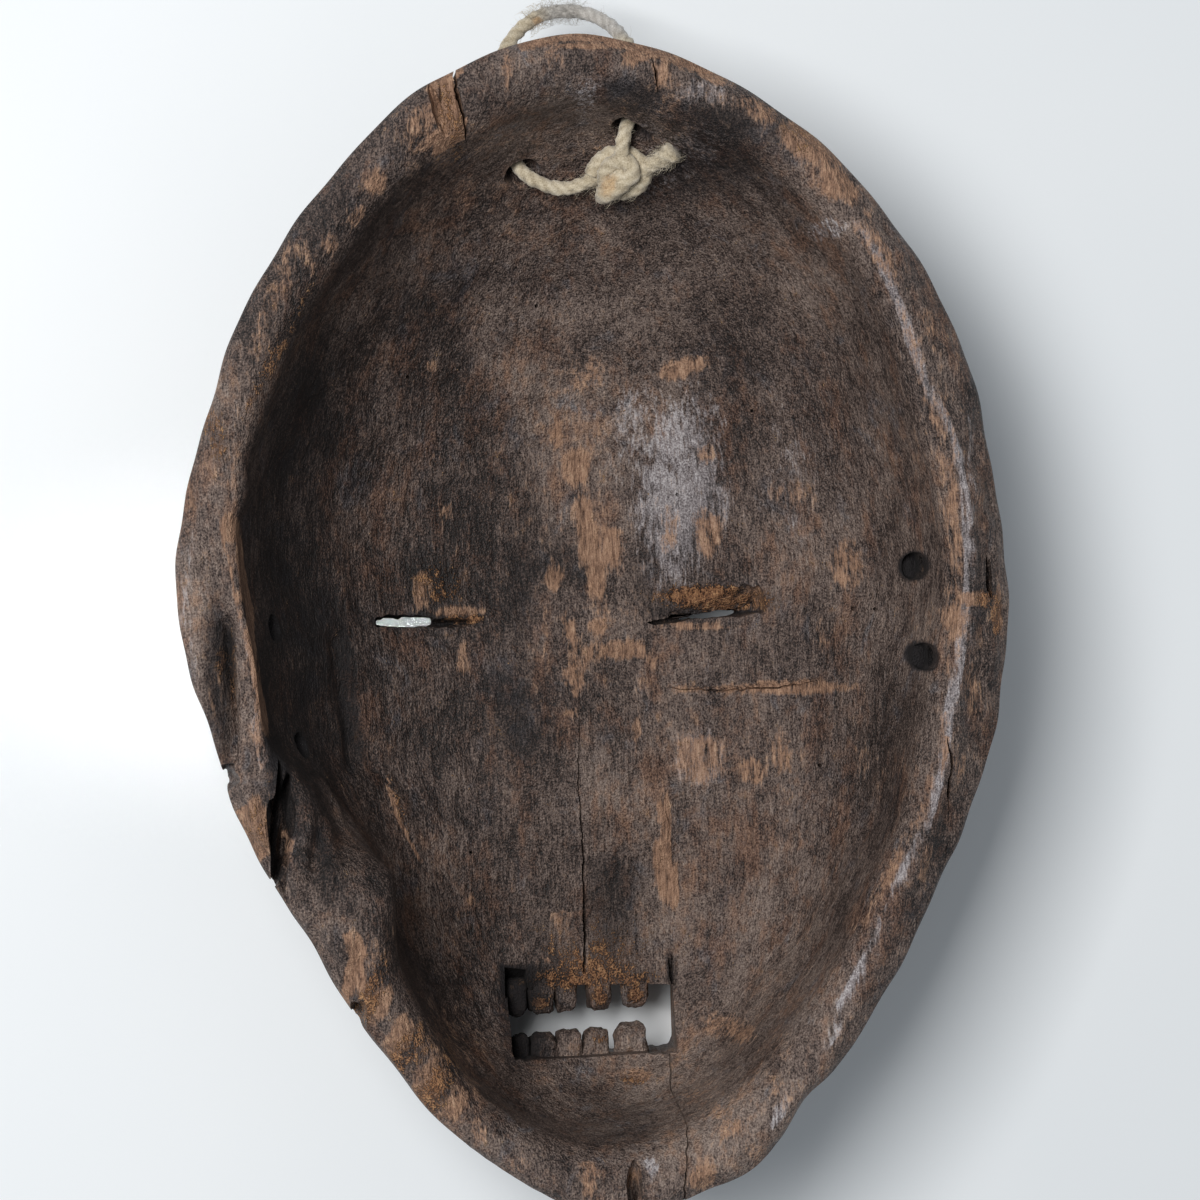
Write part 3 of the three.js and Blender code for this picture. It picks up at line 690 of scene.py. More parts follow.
def addShell():
    points, quads, part, share, across = shellGrid()
    points = points + faceNormals(points, quads) * relief(points, part, share, across)[:, None]
    points[:, 2] = np.maximum(points[:, 2], 0)
    return buildMesh("mask_wood", points, quads)


def squared(value, power):
    # Keeps the sign of a sine or cosine and brings it nearer to 1, which turns a circle into a rounded square
    return np.sign(value) * np.abs(value) ** (2 / power)


def roundedOutline(width, height, power, count):
    # A superellipse: round at a power of 2, squarer above it
    turn = np.linspace(0, 2 * np.pi, count, endpoint=False)
    return np.stack([squared(np.cos(turn), power) * width / 2, squared(np.sin(turn), power) * height / 2], -1)


def atLevels(outlines, levels):
    # Outlines (x, y) as rings (x, y, z) at these levels
    z = np.broadcast_to(np.asarray(levels, float)[:, None, None], outlines.shape[:2] + (1,))
    return np.concatenate([outlines, z], -1)


def upright(outlines, levels):
    # A closed body from outlines at rising levels
    return closedLoft(atLevels(outlines, levels))


def lipBody():
    # The raised lips: rounded rings from the worn flat front to where they sink into the muzzle
    sizes = np.array(lipRings, float)
    rows = 22
    at = np.linspace(0, len(sizes) - 1, rows)
    level, width, height = (np.interp(at, np.arange(len(sizes)), sizes[:, k]) for k in range(3))
    rings = []
    for z, w, h in zip(level, width, height):
        outline = roundedOutline(w, h, 2.6, 120)
        outline[:, 0] += mouth["x"]
        outline[:, 1] += mouth["y"]
        side = outline[:, 0] - mouth["x"]
        pinch = np.exp(-((np.abs(side) - w / 2) / 5) ** 2)
        outline[:, 0] -= np.sign(side) * pinch * 1.6 * np.exp(-((outline[:, 1] - mouth["y"]) / 2.6) ** 2)
        rings.append(outline)
    rings = np.array(rings)
    wobble = 0.35 * waves(atLevels(rings, level), 14, 21)
    middle = np.array([mouth["x"], mouth["y"]])
    rings = rings + (rings - middle) / 30 * wobble[..., None]
    return upright(rings, level)


def slotBody(at, tilt, seed, ragged, count, squareness, rows):
    # A cutter through the wall from ragged almond outlines. Each row: level, middle x, middle y, length, width.
    rings = []
    for _, middleX, middleY, length, width in rows:
        outline = roundedOutline(length, width, squareness, count)
        edge = np.concatenate([outline, np.zeros((count, 1))], -1)
        outline[:, 1] += ragged * waves(edge, 3.2, seed) + ragged * 0.6 * waves(edge, 1.6, seed + 1)
        x, y = turned(*(outline + (middleX, middleY)).T, tilt)
        rings.append(np.stack([at[0] + x, at[1] + y], -1))
    return upright(np.array(rings), [row[0] for row in rows])


def crackBody(line, widths, depth, seed, rows, above, height):
    # A thin wedge that follows a line on the surface: widest above it, closing to nothing below it
    line = np.asarray(line, float)
    path, _ = curveThrough(np.concatenate([line, np.zeros((len(line), 1))], -1), rows)
    x, y = path[:, 0], path[:, 1]
    jitter = 0.22 * waves(path, 9, seed, 20) + 0.14 * waves(path, 2.5, seed + 1, 20)
    way = np.gradient(path[:, :2], axis=0)
    way /= np.linalg.norm(way, axis=1)[:, None]
    side = np.stack([-way[:, 1], way[:, 0]], -1)
    x, y = x + side[:, 0] * jitter, y + side[:, 1] * jitter
    share = np.linspace(0, 1, rows)
    wide = np.interp(share, np.linspace(0, 1, len(widths)), widths) * (1 + 0.25 * waves(path, 4, seed + 2, 20))
    wide = np.maximum(wide, 0.12) / 2
    z = height(x, y)
    top, bottom = z + above, z - depth * np.sqrt(np.clip(4 * share * (1 - share), 0.05, 1))
    corners = [(-1.2, top), (-1, z), (0, bottom), (1, z), (1.2, top)]
    rings = [np.stack([x + side[:, 0] * wide * k, y + side[:, 1] * wide * k, level], -1) for k, level in corners]
    return closedLoft(np.stack(rings, 1))


def lumpBody(at, radii, seed, turn=0.0, rough=0.12, rows=14, count=24):
    # A rough ellipsoid, turned about the upright axis
    up = np.linspace(-1, 1, rows + 2)[1:-1, None] * np.pi / 2
    around = np.linspace(0, 2 * np.pi, count, endpoint=False)
    unit = np.stack([np.cos(up) * np.cos(around), np.cos(up) * np.sin(around), np.sin(up) + 0 * around], -1)
    unit = unit * (1 + rough * waves(unit * 10, 9, seed))[..., None]
    p = unit * np.array(radii)
    return closedLoft(np.stack([*turned(p[..., 0], p[..., 1], turn), p[..., 2]], -1) + np.array(at))


def rodBody(at, along, length, radii, seed, count=28, rough=0.03):
    # A drilled hole: a slightly uneven round rod along a direction, with a radius at each share of its length
    along = np.asarray(along, float) / np.linalg.norm(along)
    side = np.cross(along, [0.1, 1.0, 0.2] if abs(along[1]) < 0.7 else [1.0, 0.1, 0])
    side /= np.linalg.norm(side)
    other = np.cross(along, side)
    rows = len(radii)
    turn = np.linspace(0, 2 * np.pi, count, endpoint=False)
    ring = np.cos(turn)[:, None] * side + np.sin(turn)[:, None] * other
    size = np.asarray(radii)[:, None] * (1 + rough * waves(ring * 3, 3, seed))[None]
    centre = np.asarray(at, float) + along * np.linspace(0, length, rows)[:, None]
    return closedLoft(centre[:, None] + ring[None] * size[..., None])


toothSizes = {
    "root": 3.5, "gumTop": -97.6, "gumBottom": -113.4,
    "topLevels": (17.5, 27.8), "bottomLevels": (21.5, 31),
    # Left side, right side and length of each tooth
    "top": [(-21.8, -15.8, 6.4), (-15.9, -8.2, 6.2), (-8.5, -2.4, 6.1), (0.2, 7.0, 6.0), (9.4, 16.8, 5.6)],
    "bottom": [(-20.8, -15.7, 4.6), (-15.9, -8.8, 4.8), (-9.0, -1.6, 5.2), (-1.7, 5.6, 5.6), (6.8, 15.9, 6.2)],
}


def toothBody(left, right, length, gum, way, levels, seed):
    # A worn block: a rounded box that narrows a little to its tip, with uneven faces
    rows, count = 16, 28
    tall = length + toothSizes["root"]
    up = np.linspace(-1, 1, rows + 2)[1:-1] * np.pi / 2
    around = np.linspace(0, 2 * np.pi, count, endpoint=False)
    flat = squared(np.cos(up), 4)[:, None]
    x = flat * squared(np.cos(around), 4)
    z = flat * squared(np.sin(around), 4)
    y = squared(np.sin(up), 4)[:, None] + 0 * x
    tip = np.clip(y * way, -1, 1)
    narrow, thin = 1.06 - 0.2 * (tip + 1) / 2, 1 - 0.12 * (tip + 1) / 2
    low, high = levels
    middle = np.array([(left + right) / 2, gum + way * (tall / 2 - toothSizes["root"]), (high + low) / 2])
    rings = np.stack([x * narrow * (right - left) / 2, y * tall / 2, z * thin * (high - low) / 2], -1)
    uneven = 0.3 * waves(rings, 4.5, seed) + 0.14 * waves(rings, 1.8, seed + 5)
    rings = rings + uneven[..., None] * rings / 4 + middle
    return closedLoft(rings[:, ::-1])


def teethBodies():
    # Both rows of teeth, the upper one growing down the picture and the lower one up
    rows = (("top", toothSizes["gumTop"], -1, 40), ("bottom", toothSizes["gumBottom"], 1, 50))
    return [toothBody(*tooth, gum, way, toothSizes[row + "Levels"], seed + k)
            for row, gum, way, seed in rows for k, tooth in enumerate(toothSizes[row])]


holeSizes = {
    "side": [(84.2, 11.9), (83.5, -11.3), (-81.3, 2), (-76.1, -28.3)],
    # Where each cord hole opens in the hollow, and the way it goes
    "cord": [((-13.1, 116.9, 60.3), (-0.284, 0.738, -0.61)), ((14.6, 127.7, 72.6), (0.178, 0.754, -0.627))],
    "pins": [
        (29.5, 33.2), (48.6, 54.5), (71.7, 1.0), (76.5, 0.8), (-43, 66), (-8, 84), (62, -40), (-30, -60), (12, -128),
    ],
    # Radii along each kind of hole
    "leftRadii": [3.5, 3.4, 3.3, 3.3, 3.3], "rightRadii": [2.6, 3, 3.2, 3.2, 3.2],
    "cordRadii": [5.8, 4.6, 3.2, 3, 3, 3, 3, 3, 3], "pinRadii": [0.55, 0.5, 0.45],
    # The upright pit over each right side hole: level from the surface, middle x, middle y, length and width
    "pit": [(-7, 0, 0, 3.8, 6.0), (-2, 0, 0, 4.6, 7), (14, 0, 0, 5, 7.4)],
}
# Cuts round the eyes, those of a group made together: place, lean, seed, raggedness, points round, squareness,
# and rows of level, middle x, middle y, length and width
eyeCuts = [
    [
        ((-38, 1.5), -2, 61, 0.2, 80, 3.4,
         [(-6, -1, 0, 25, 2.6), (14, -2, 0, 24, 2.8), (18.5, -7.4, 0.3, 15.8, 2.9), (46, -7.2, 0.5, 16.8, 4.2)]),
        ((33.6, 0.4), 5, 63, 0.1, 80, 2.4,
         [(-6, 0, 0, 25, 2.4), (14, 0, 0, 24, 2.4), (18.5, 5, 0.2, 13.5, 1.7), (40, 5, 0.3, 14, 2.4)]),
    ],
    [
        ((-34, 1.3), -1, 65, 0.2, 64, 2.2,
         [(19.5, 0, 0, 9, 0.8), (23, 1, 0, 14, 2.0), (27, 3, 0.2, 20, 3.4), (40, 3, 0.3, 21, 4)]),
        ((26.4, -0.2), 5, 66, 0.15, 64, 2.2, [(17.5, 0, 0, 11, 0.8), (22, 0, 0, 12, 1.6), (40, 0, 0.2, 13, 2.6)]),
    ],
    [
        ((35.6, 3.4), 3.5, 67, 0.35, 96, 7,
         [(21.5, 0, -2.2, 24, 1.4), (23.6, 0.3, -1.2, 27, 4), (27.5, 0.6, 0.5, 29.2, 8), (40, 0.6, 0.7, 29.6, 8.6)]),
    ],
]
# Outlines at rising levels of the deep corner left of the upper teeth, and of the chip at the upper left
cornerPit = {
    20: [(-22, -98.5), (-16, -98.5), (-16, -94.5), (-22, -94.5)],
    27: [(-22.3, -98.5), (-15.6, -98.5), (-16.2, -91.6), (-22, -90.6)],
    44: [(-22.6, -98.5), (-15.2, -98.5), (-16.2, -90.8), (-22.4, -89.8)],
}
chipCut = {
    90.2: [(-36, 139), (-35.4, 121.5), (-30.4, 120.2), (-33, 139.5)],
    98: [(-37.6, 140), (-36.8, 120.5), (-30.0, 119.2), (-32.6, 140.5)],
}
# Cracks: points, widths along them, depth, seed, steps, reach above the surface, and what they follow, which is the
# hollow's worked-out height, the carved surface or a level in mm
woodCracks = [
    ([(0.9, -20), (0.5, -32.5), (-0.2, -44.4), (0.2, -60.5), (0.3, -75.3), (-0.4, -93.5)],
     (0.15, 0.35, 0.5, 0.75, 0.7), 2.6, 71, 90, 3, "hollow"),
    ([(20, -113.2), (19, -119.8), (18.2, -127.6), (17.6, -130.4), (16.8, -134.4), (16, -142.5), (15.9, -150)],
     (0.5, 0.45, 0.4, 0.5, 0.6), 2.4, 74, 80, 3, "surface"),
    ([(24.9, -18.2), (38.5, -19.2), (53.7, -18.8), (65.6, -17.3)], (0.2, 0.5, 0.5, 0.2), 0.9, 77, 50, 3, "hollow"),
]
rimCracks = [
    ([(86.6, -32), (87.8, -39.5), (86.8, -48), (87.8, -55.5)], (0.3, 1.0, 0.7, 0.3), 4, 130, 40, 8, 91),
    ([(87.4, -56.5), (86.2, -61), (86.6, -66)], (0.3, 0.8, 0.4), 4, 131, 40, 8, 91),
    ([(17.4, 141.8), (18.2, 138), (19.2, 133)], (0.3, 0.6, 0.4), 4, 132, 40, 8, 91),
    ([(-33, 143), (-32, 139), (-30.6, 129.4), (-28.6, 119)], (0.7, 0.8, 0.7, 0.4), 5, 121, 40, 8, 86),
]
# Broken places in the rim and the gum: middle, radii, seed, lean, roughness, rows and points round
brokenPlaces = [
    ((-82.2, -48, 89), (3.2, 18, 11), 112, -4, 0.2, 18, 30),
    ((-71.2, -54.5, 72), (2.2, 5.5, 9), 113, 12, 0.2),
    ((-36.6, 129.5, 93.5), (1.6, 9, 5), 114, 14, 0.14),
    ((3.3, -143.1, 92), (2, 8, 7), 115, 0, 0.16),
    ((-94.4, -34.8, 94), (2.6, 3.4, 14), 116, 0, 0.14),
    ((-64.6, -96, 94), (2.4, 4.8, 14), 117, 0, 0.14),
    ((22.6, -93.4, 30.5), (1.0, 4.4, 3.4), 108, 0, 0.2),
    ((99.6, 8.4, 91), (0.9, 6.2, 5), 119, 2, 0.2),
]


def mouthBody():
    # The mouth's square opening with its slightly uneven walls
    rings = []
    for level, left, right, bottom, top in mouthLevels:
        outline = roundedOutline(right - left, top - bottom, 14, 160)
        edge = np.concatenate([outline, np.full((160, 1), level / 3)], -1)
        outline = outline + 0.24 * np.stack([waves(edge, 5, 31), 1.6 * waves(edge, 3.4, 32)], -1)
        rings.append(outline + ((left + right) / 2, (bottom + top) / 2))
    return upright(np.array(rings), [row[0] for row in mouthLevels])


def topHeight(piece):
    # A function that gives the height of the piece's upper surface at each place of a line
    bpy.context.view_layer.update()
    down = Vector((0, 0, -1))

    def height(x, y):
        found = [piece.ray_cast(Vector((a, b, 200)) * mm, down) for a, b in zip(x, y)]
        return np.array([place.z / mm if hit else bowl["rimHeight"] for hit, place, _, _ in found])

    return height


def crackBodies(piece, cracks):
    # Wedges for cracks, each at the height of what it follows
    heights = {"hollow": floorHeight, "surface": topHeight(piece)}
    return [crackBody(*sizes, heights.get(follows, lambda x, y, level=follows: level + 0 * x))
            for *sizes, follows in cracks]


def holeBodies(piece):
    # Rods for the side holes, the cord's holes and the insects' pinholes, and the pits over the right side holes
    h = holeSizes
    points = meshPoints(piece)
    rods, pits = [], []
    for k, (x, y) in enumerate(h["side"]):
        z = float(innerHeight(np.array(x), np.array(y)))
        if x < 0:
            rods.append(rodBody((x + 12, y, z), (-1, 0, 0), 45, h["leftRadii"], 80 + k))
            continue
        near = points[(np.hypot(points[:, 0] - x, points[:, 1] - y) < 1.8) & (points[:, 2] > z - 3)]
        start = np.array([x, y, near[:, 2].mean()])
        rods.append(rodBody(start, np.array([105, y, z]) - start, 40, h["rightRadii"], 80 + k))
        rows = [(start[2] + level, *size) for level, *size in h["pit"]]
        pits.append(slotBody((x, y), 0, 85 + k, 0.08, 40, 2.2, rows))
    for k, (at, along) in enumerate(h["cord"]):
        along = np.array(along) / np.linalg.norm(along)
        rods.append(rodBody(np.array(at) - 4 * along, along, 40, h["cordRadii"], 90 + k))
    for k, (x, y) in enumerate(h["pins"]):
        z = float(innerHeight(np.array(x), np.array(y)))
        rods.append(rodBody((x, y, z + 3), (0.05, 0.1, -1), 5.5, h["pinRadii"], 100 + k, 9))
    return rods, pits


def carveMask(piece):
    # Adds the lips and teeth, and cuts openings, holes, cracks and broken places
    def cut(*bodies):
        combine(piece, joinBodies("cutter", bodies), "DIFFERENCE")

    combine(piece, joinBodies("lips", [lipBody()]), "UNION")
    cut(mouthBody())
    cut(upright(np.array(list(cornerPit.values())), list(cornerPit)))
    combine(piece, joinBodies("teeth", teethBodies()), "UNION")
    for group in eyeCuts:
        cut(*[slotBody(*sizes) for sizes in group])
    for body in crackBodies(piece, woodCracks):
        cut(body)
    rods, pits = holeBodies(piece)
    cut(*rods)
    cut(*pits)
    for sizes in brokenPlaces:
        cut(lumpBody(*sizes))
    for body in crackBodies(piece, rimCracks):
        cut(body)
    cut(upright(np.array(list(chipCut.values())), list(chipCut)))


# Worn places in the hollow, on the rim and on the front: x, y, half width, half length, lean in degrees, strength.
# The lists of sooty, polished, shaded and raw places below are built the same way.
innerWear = [
    (3, 42, 3.8, 4.8, 0, 1), (6, 20, 2.7, 16.1, -9, 1), (12, 20, 2.9, 6.5, -6, 0.9), (-4, 13, 2.7, 4, 0, 0.8),
    (-2, 51, 1.9, 4, -8, 0.8), (0, -3, 1.6, 6.4, -14, 0.9), (0, -14, 2.1, 5.9, 0, 0.9), (12, -8, 9.6, 1.9, 4, 0.9),
    (21, -11, 1.1, 2.7, 0, 0.8), (-7, -1, 1.1, 6.4, 0, 0.6), (7, -1, 2.7, 2.4, 0, 0.7), (37, 44, 2.6, 2.9, 0, 0.8),
    (37, 23, 3.6, 6.4, 0, 0.8), (27, 24, 3.1, 7, 0, 0.5), (46, 5, 3.3, 2.7, 0, 1), (32, 6, 10.3, 1.6, 4, 0.6),
    (58, 32, 6.6, 3.7, 8, 0.55), (71, 13, 3.8, 6.9, 0, 0.65), (91, 25, 1.2, 16, -4, 0.7), (90, -2, 3, 4.6, 0, 0.8),
    (95, 3, 5.2, 1.8, 0, 0.9), (102, 0, 1.5, 5.6, 0, 0.9), (64, -5, 1.6, 4.8, 0, 0.5), (57, -19, 12.5, 1.9, 2, 0.8),
    (34, -2, 8.8, 1.3, 4, 0.7), (33, -37, 6.8, 6.4, 0, 0.75), (46, -41, 3.5, 3.7, 0, 0.7),
    (53, -36, 2.9, 5.8, 0, 0.55), (16, -29, 1.3, 3.7, 0, 0.7), (22, -50, 1.3, 4.3, 0, 0.8),
    (22, -67, 2.4, 8.6, -8, 1), (-6, -91, 7, 3.1, 0, 0.9), (-6, -78, 4.3, 1.6, 0, 0.6),
    (-30, -72, 1.1, 2.1, 0, 0.7), (-1, -23, 1.6, 1.6, 0, 0.8), (4, 67, 6.9, 6.2, 0, 0.5),
    (31, 67, 7.1, 2.6, -14, 0.8), (-37, 68, 1.6, 2.6, 30, 0.6), (72, -41, 3.2, 7.3, 0, 0.4),
    (-35, 45, 3, 1.6, 0, 0.6), (-33, 31, 1.9, 3.2, 0, 0.7), (-40, 11, 2.7, 5.9, 10, 0.7),
    (-30, -9, 1.9, 5.3, 0, 0.6), (-30, 4, 6.5, 1.3, 0, 0.7), (11, -119, 3.3, 1.7, 0, 0.8),
    (25, -124, 5.4, 2.2, 10, 0.5), (34, -107, 5, 3.2, 0, 0.75), (31, -129, 3.2, 3, 0, 0.7),
    (28, -128, 2.1, 2.1, 0, 0.6),
]
rimWear = [
    (-92, 27, 2.5, 3.5, 0, 1), (-89, 15, 1.0, 7.5, 4, 0.8), (-86, -13, 0.8, 10, 4, 0.6),
    (-95, 52, 2.2, 7, -14, 0.6), (-101, 34, 1, 6.5, -6, 0.6), (-97, -13, 2.2, 6.5, 6, 0.5),
    (-88, -48, 2.8, 7.5, 0, 1), (-81, -53, 2, 5, 0, 0.6), (-65, -83, 2, 9, 16, 1), (-59, -92, 2.6, 6, 24, 0.85),
    (-54, -101, 3, 7.5, 30, 0.8), (-47, -113, 3.4, 7.5, 34, 0.85), (-41, -119, 2.5, 4, 30, 0.8),
    (-35, -125, 3, 3, 30, 0.6), (-25, -134, 3.5, 3, 30, 0.5), (-32, 128, 1.8, 8.5, -12, 1),
    (-37, 135, 2.2, 2, 0, 0.7), (-41, 125, 4, 6.5, 20, 0.6), (-53, 112, 3.5, 3, 0, 0.7), (-58, 104, 3, 3, 0, 0.6),
    (-65, 97, 2.5, 3.5, 0, 0.5), (-70, 93, 2, 5, 0, 0.5), (2, 145, 8.5, 1, 0, 0.8), (-19, 138, 1.5, 6, 0, 0.6),
    (-7, 141, 2.5, 4.5, 0, 0.5), (58.5, 119.5, 6, 9, -62, 0.85), (64, 108.5, 3.6, 7, -50, 0.9),
    (13.5, 142, 3.2, 1.8, 0, 1), (20, 139, 6, 3, -70, 0.6), (44, 128, 3, 7, -66, 0.6), (41, 115, 3, 2, 0, 0.4),
    (73, 92, 3, 9, -34, 0.6), (81, 72, 1.6, 9, -18, 0.5), (87, 71, 3, 6.5, -10, 0.5), (90, 46, 1.7, 10, -8, 0.55),
    (91, 13, 1.7, 12, 0, 0.5), (88, -9, 2.2, 6, 0, 0.6), (94, -20, 2.2, 7, 0, 0.6), (90, -38, 2.4, 5, 0, 0.5),
    (86, -34, 1.2, 7.5, 4, 0.8), (80, -63, 1.6, 7, 14, 0.5), (74, -68, 1.6, 8, 22, 0.5),
    (66, -85, 1.4, 10, 28, 0.5), (57, -107, 2, 7.5, 26, 0.4), (41, -121, 3, 4, 30, 0.6), (34, -134, 3.5, 3, 0, 0.6),
    (28, -128, 3.5, 4.5, 0, 0.6), (20, -140, 4, 3, 0, 0.8), (23, -120, 4, 5, 0, 0.4), (-8, -139, 2.5, 5.5, 0, 0.7),
    (3, -137, 1.5, 6, 0, 0.5), (6, -138, 2, 4.5, 0, 0.6),
]
frontWear = [
    (0, -52, 6, 7, 0, 0.9), (0, -22, 2.5, 20, 0, 0.6), (0, 34, 15, 9, 0, 0.7), (34, 27, 14, 2, 0, 0.6),
    (-34, 27, 14, 2, 0, 0.6), (37, 2, 12, 3, 0, 0.4), (-37, 2, 12, 3, 0, 0.4), (-28, -104, 5, 12, 0, 0.7),
    (28, -104, 5, 12, 0, 0.7), (0, -88, 22, 3, 0, 0.7), (0, -120, 22, 3, 0, 0.7), (52, -52, 8, 10, 0, 0.4),
    (-52, -52, 8, 10, 0, 0.4), (0, -136, 10, 6, 0, 0.6),
]
# Sooty bluish-black places, with painted shade on the left wall, at its foot, in the slot under the left rim, in the
# mouth's left corner and over the upper left inside
sootAndShadePlaces = [
    (36, 118, 12, 8, -20, 0.6), (-10, 20, 4, 12, 0, 0.4), (-14, 8, 3, 14, 0, 0.5), (-3, 16, 6, 5, 0, 0.5),
    (-15, -24, 8, 12, 0, 0.3), (-75, 40, 9, 36, 8, 0.6), (-72, -10, 10, 30, 0, 0.6), (-50, 95, 20, 10, 40, 0.2),
    (-12, 132, 12, 6, 0, 0.3), (4.5, 13, 1.6, 5, 10, 0.6), (8, -72, 6, 9, 0, 0.5), (-20, -104, 4, 10, 0, 0.7),
    (20, 12, 3, 9, 10, 0.3), (-62, -18, 2.4, 18, 0, 0.8), (-96.3, -10, 2.6, 18, 0, 0.9),
    (-93.7, -7, 1.6, 9, 2, 1.1), (-94.5, -25, 0.9, 8, 2, 0.8), (22.4, -93.5, 1, 4.6, 0, 0.9),
    (2, -126, 8, 6, 0, 0.4), (13, 132.5, 3.2, 9, -80, 0.75), (34, 125, 3.8, 10.5, -72, 0.85),
    (-19, -98, 4.6, 6, 0, 1), (-70, -62, 3, 5, 0, 0.5), (-83.4, -48, 1.6, 13, -4, 0.9),
    (-43, 2.6, 11, 1.2, -2, 0.6), (27, 1.6, 6, 1.6, 5, 0.8), (-19, -94, 4, 3, 0, 0.8), (0, -99, 24, 1, 0, 0.3),
]
# Worn lines along the rim's crest and other edges: points, half width, strength
wornLines = [
    ([(67.6, 107.6), (74.8, 90.9), (80.5, 71.7), (85, 53.8), (89.6, 35.9), (90.5, 13), (88.8, -7.3),
      (86.2, -22.4)], 1.5, 0.55),
    ([(86.6, -33.8), (81, -47.5), (71.4, -64.9), (61.8, -82.2)], 1.2, 0.55),
    ([(-92.2, 27.3), (-89.6, 24), (-89.5, 18), (-87.7, 6.6), (-87.3, -9.1), (-85.3, -17.3), (-84.4, -25.8)], 0.9, 1),
    ([(-67, -73.8), (-64.1, -83.8), (-60.9, -93.9)], 1.3, 0.9),
    ([(-90.6, -41.7), (-88.4, -49.2), (-86.2, -55.5)], 2.2, 0.9),
    ([(-52.2, -37.7), (-49.3, -49.6), (-43.2, -62.4)], 0.6, 1),
    ([(22.9, -45.4), (23.5, -53.4), (22.7, -60.1), (24.8, -68.2), (24.7, -76.2)], 1, 1),
    ([(24.9, -18.2), (38.5, -19.2), (53.7, -18.8), (65.6, -17.3)], 1.2, 0.6),
    ([(2.6, -8.6), (10, -7), (20.7, -6.8)], 1.4, 0.9),
    ([(-17.4, 146.3), (-5.2, 148.4), (4.9, 148.2), (14.9, 145), (27.4, 140.4), (38, 135)], 2.2, 0.95),
    ([(-72, 100), (-82, 78), (-90, 52), (-92.5, 34)], 2.2, 0.4),
]
# The rim's crest and the left rim's outer edge: polish with a painted highlight along them
crestPolishAndSheenLines = [
    ([(66.2, 103.6), (73.6, 90.6), (78.4, 78.8), (82.5, 64.5), (85.5, 55.4), (89.1, 48.9), (92.1, 39.2),
      (94.1, 22.2), (94.1, 9.3), (91.9, -2.8), (90.1, -15.7), (87.8, -23.9), (86.1, -35), (83.7, -44.5),
      (80, -55.2), (74.4, -66.6), (66.7, -83), (57.7, -97.9), (55.4, -104.9), (49.3, -111.6),
      (38.4, -123.5)], 1.15, 1.3),
    ([(-101, 34.3), (-102.9, 9.6), (-101.8, -15.2)], 0.9, 0.45),
]
# Dark lines along the slot under the left rim's edge, by the hacked lumps and along the crease at the left wall's foot:
# painted shade, with soot
sootAndShadeLines = [
    ([(-84, -24), (-81.6, -40), (-83, -60)], 3.2, 0.95), ([(-72.6, -48), (-71, -58)], 1.2, 0.8),
    ([(-62.7, 2), (-60.6, -20), (-58.4, -36)], 1.6, 0.8),
]
# Polished places, lower in roughness, with a painted sheen: a pale grey that stands for the lamp's reflection
polishAndSheenPlaces = [
    (30, 34, 11, 22, 6, 1), (20, 50, 8, 16, 0, 0.6), (95, 20, 1.4, 50, 3, 0.5), (31, 133, 7, 4, 0, 0.6),
    (1.5, 133.5, 3.2, 4, 0, 0.65), (62, 98, 4, 3, 0, 0.6), (33, -37, 7, 7, 0, 0.8), (-104, 0, 1.5, 30, 0, 0.4),
    (40.4, -124.4, 1.6, 4.4, 30, 1.1), (7.6, -136.5, 1.8, 1.4, 0, 1.3), (25, 118, 14, 6, -20, 0.6),
    (60, 40, 8, 20, 0, 0.4),
]
# Large darker parts, mostly the left half: partly darker wood, partly painted shade where the left wall shades the
# hollow's left floor
darkWoodAndShadePlaces = [
    (-62, 10, 32, 80, 0, 1), (-50, -62, 24, 50, -15, 1), (-48, 80, 30, 30, 35, 0.4), (-22, 108, 24, 16, 0, 0.35),
    (-36, 36, 19, 44, 0, 1), (0, -128, 30, 10, 0, 0.2), (-38, 0, 18, 40, 0, 0.9), (50, 60, 16, 24, 0, 0.2),
    (-40, -104, 14, 16, 0, 0.9), (-22, -44, 12, 40, 0, 0.6), (14, -66, 12, 20, 0, 0.25), (98, 10, 4, 60, 0, 0.6),
    (74, -82, 7, 34, 24, 0.8), (64, -34, 18, 24, 0, 0.4),
]
# Large paler brown parts: partly paler wood, partly painted light on the right wall and the chin, which face the lamp
paleAndLitPlaces = [
    (46, -100, 14, 26, -25, 0.7), (24, -122, 26, 12, 0, 0.9), (70, 30, 16, 60, 0, 0.35), (8, 134, 40, 10, 0, 0.5),
    (30, 34, 14, 22, 6, 0.3), (-94, 46, 10, 30, -10, 0.6), (-95, 0, 8, 30, 0, 0.4),
]
# Freshly broken orange wood
rawPlaces = [
    (38, 5.4, 12.5, 3, 4, 0.9), (-29, 2.2, 5, 1.4, 0, 0.6), (-3, -94, 11, 3, 0, 0.75), (12, -95, 7, 2.2, 0, 0.65),
    (-78.5, 71, 1.5, 16, 30, 0.5), (-12.5, -100.5, 2.2, 1.4, 0, 1), (3.6, -99.5, 1.7, 2.2, 0, 1.1),
    (13, -99.5, 2, 2, 0, 1.1), (3, -110.5, 2, 1.4, 0, 0.5), (99, 3, 3, 2.4, 0, 0.7), (101.5, -1.5, 1.4, 5, 0, 0.7),
    (-88, -48, 3.2, 9, 8, 0.25), (-49, -46, 0.7, 9, -16, 0.5), (-95, -6, 1.2, 3, 0, 0.8),
    (-92.6, -8, 0.9, 10, 0, 0.45), (-95, 52, 2.4, 8, -14, 0.4), (-33, 128, 2.2, 8.5, -12, 0.5),
    (9.5, -120, 3, 1.4, 0, 0.5), (54, 122, 7, 4, 30, 0.25), (-46, -114, 3.4, 9, 34, 0.6),
    (-61, -90, 2.4, 9, 22, 0.6), (-53, -105, 3, 7, 34, 0.6), (-50, -104, 3, 6, 34, 0.4), (-36, 12, 6, 5, 20, 0.45),
]
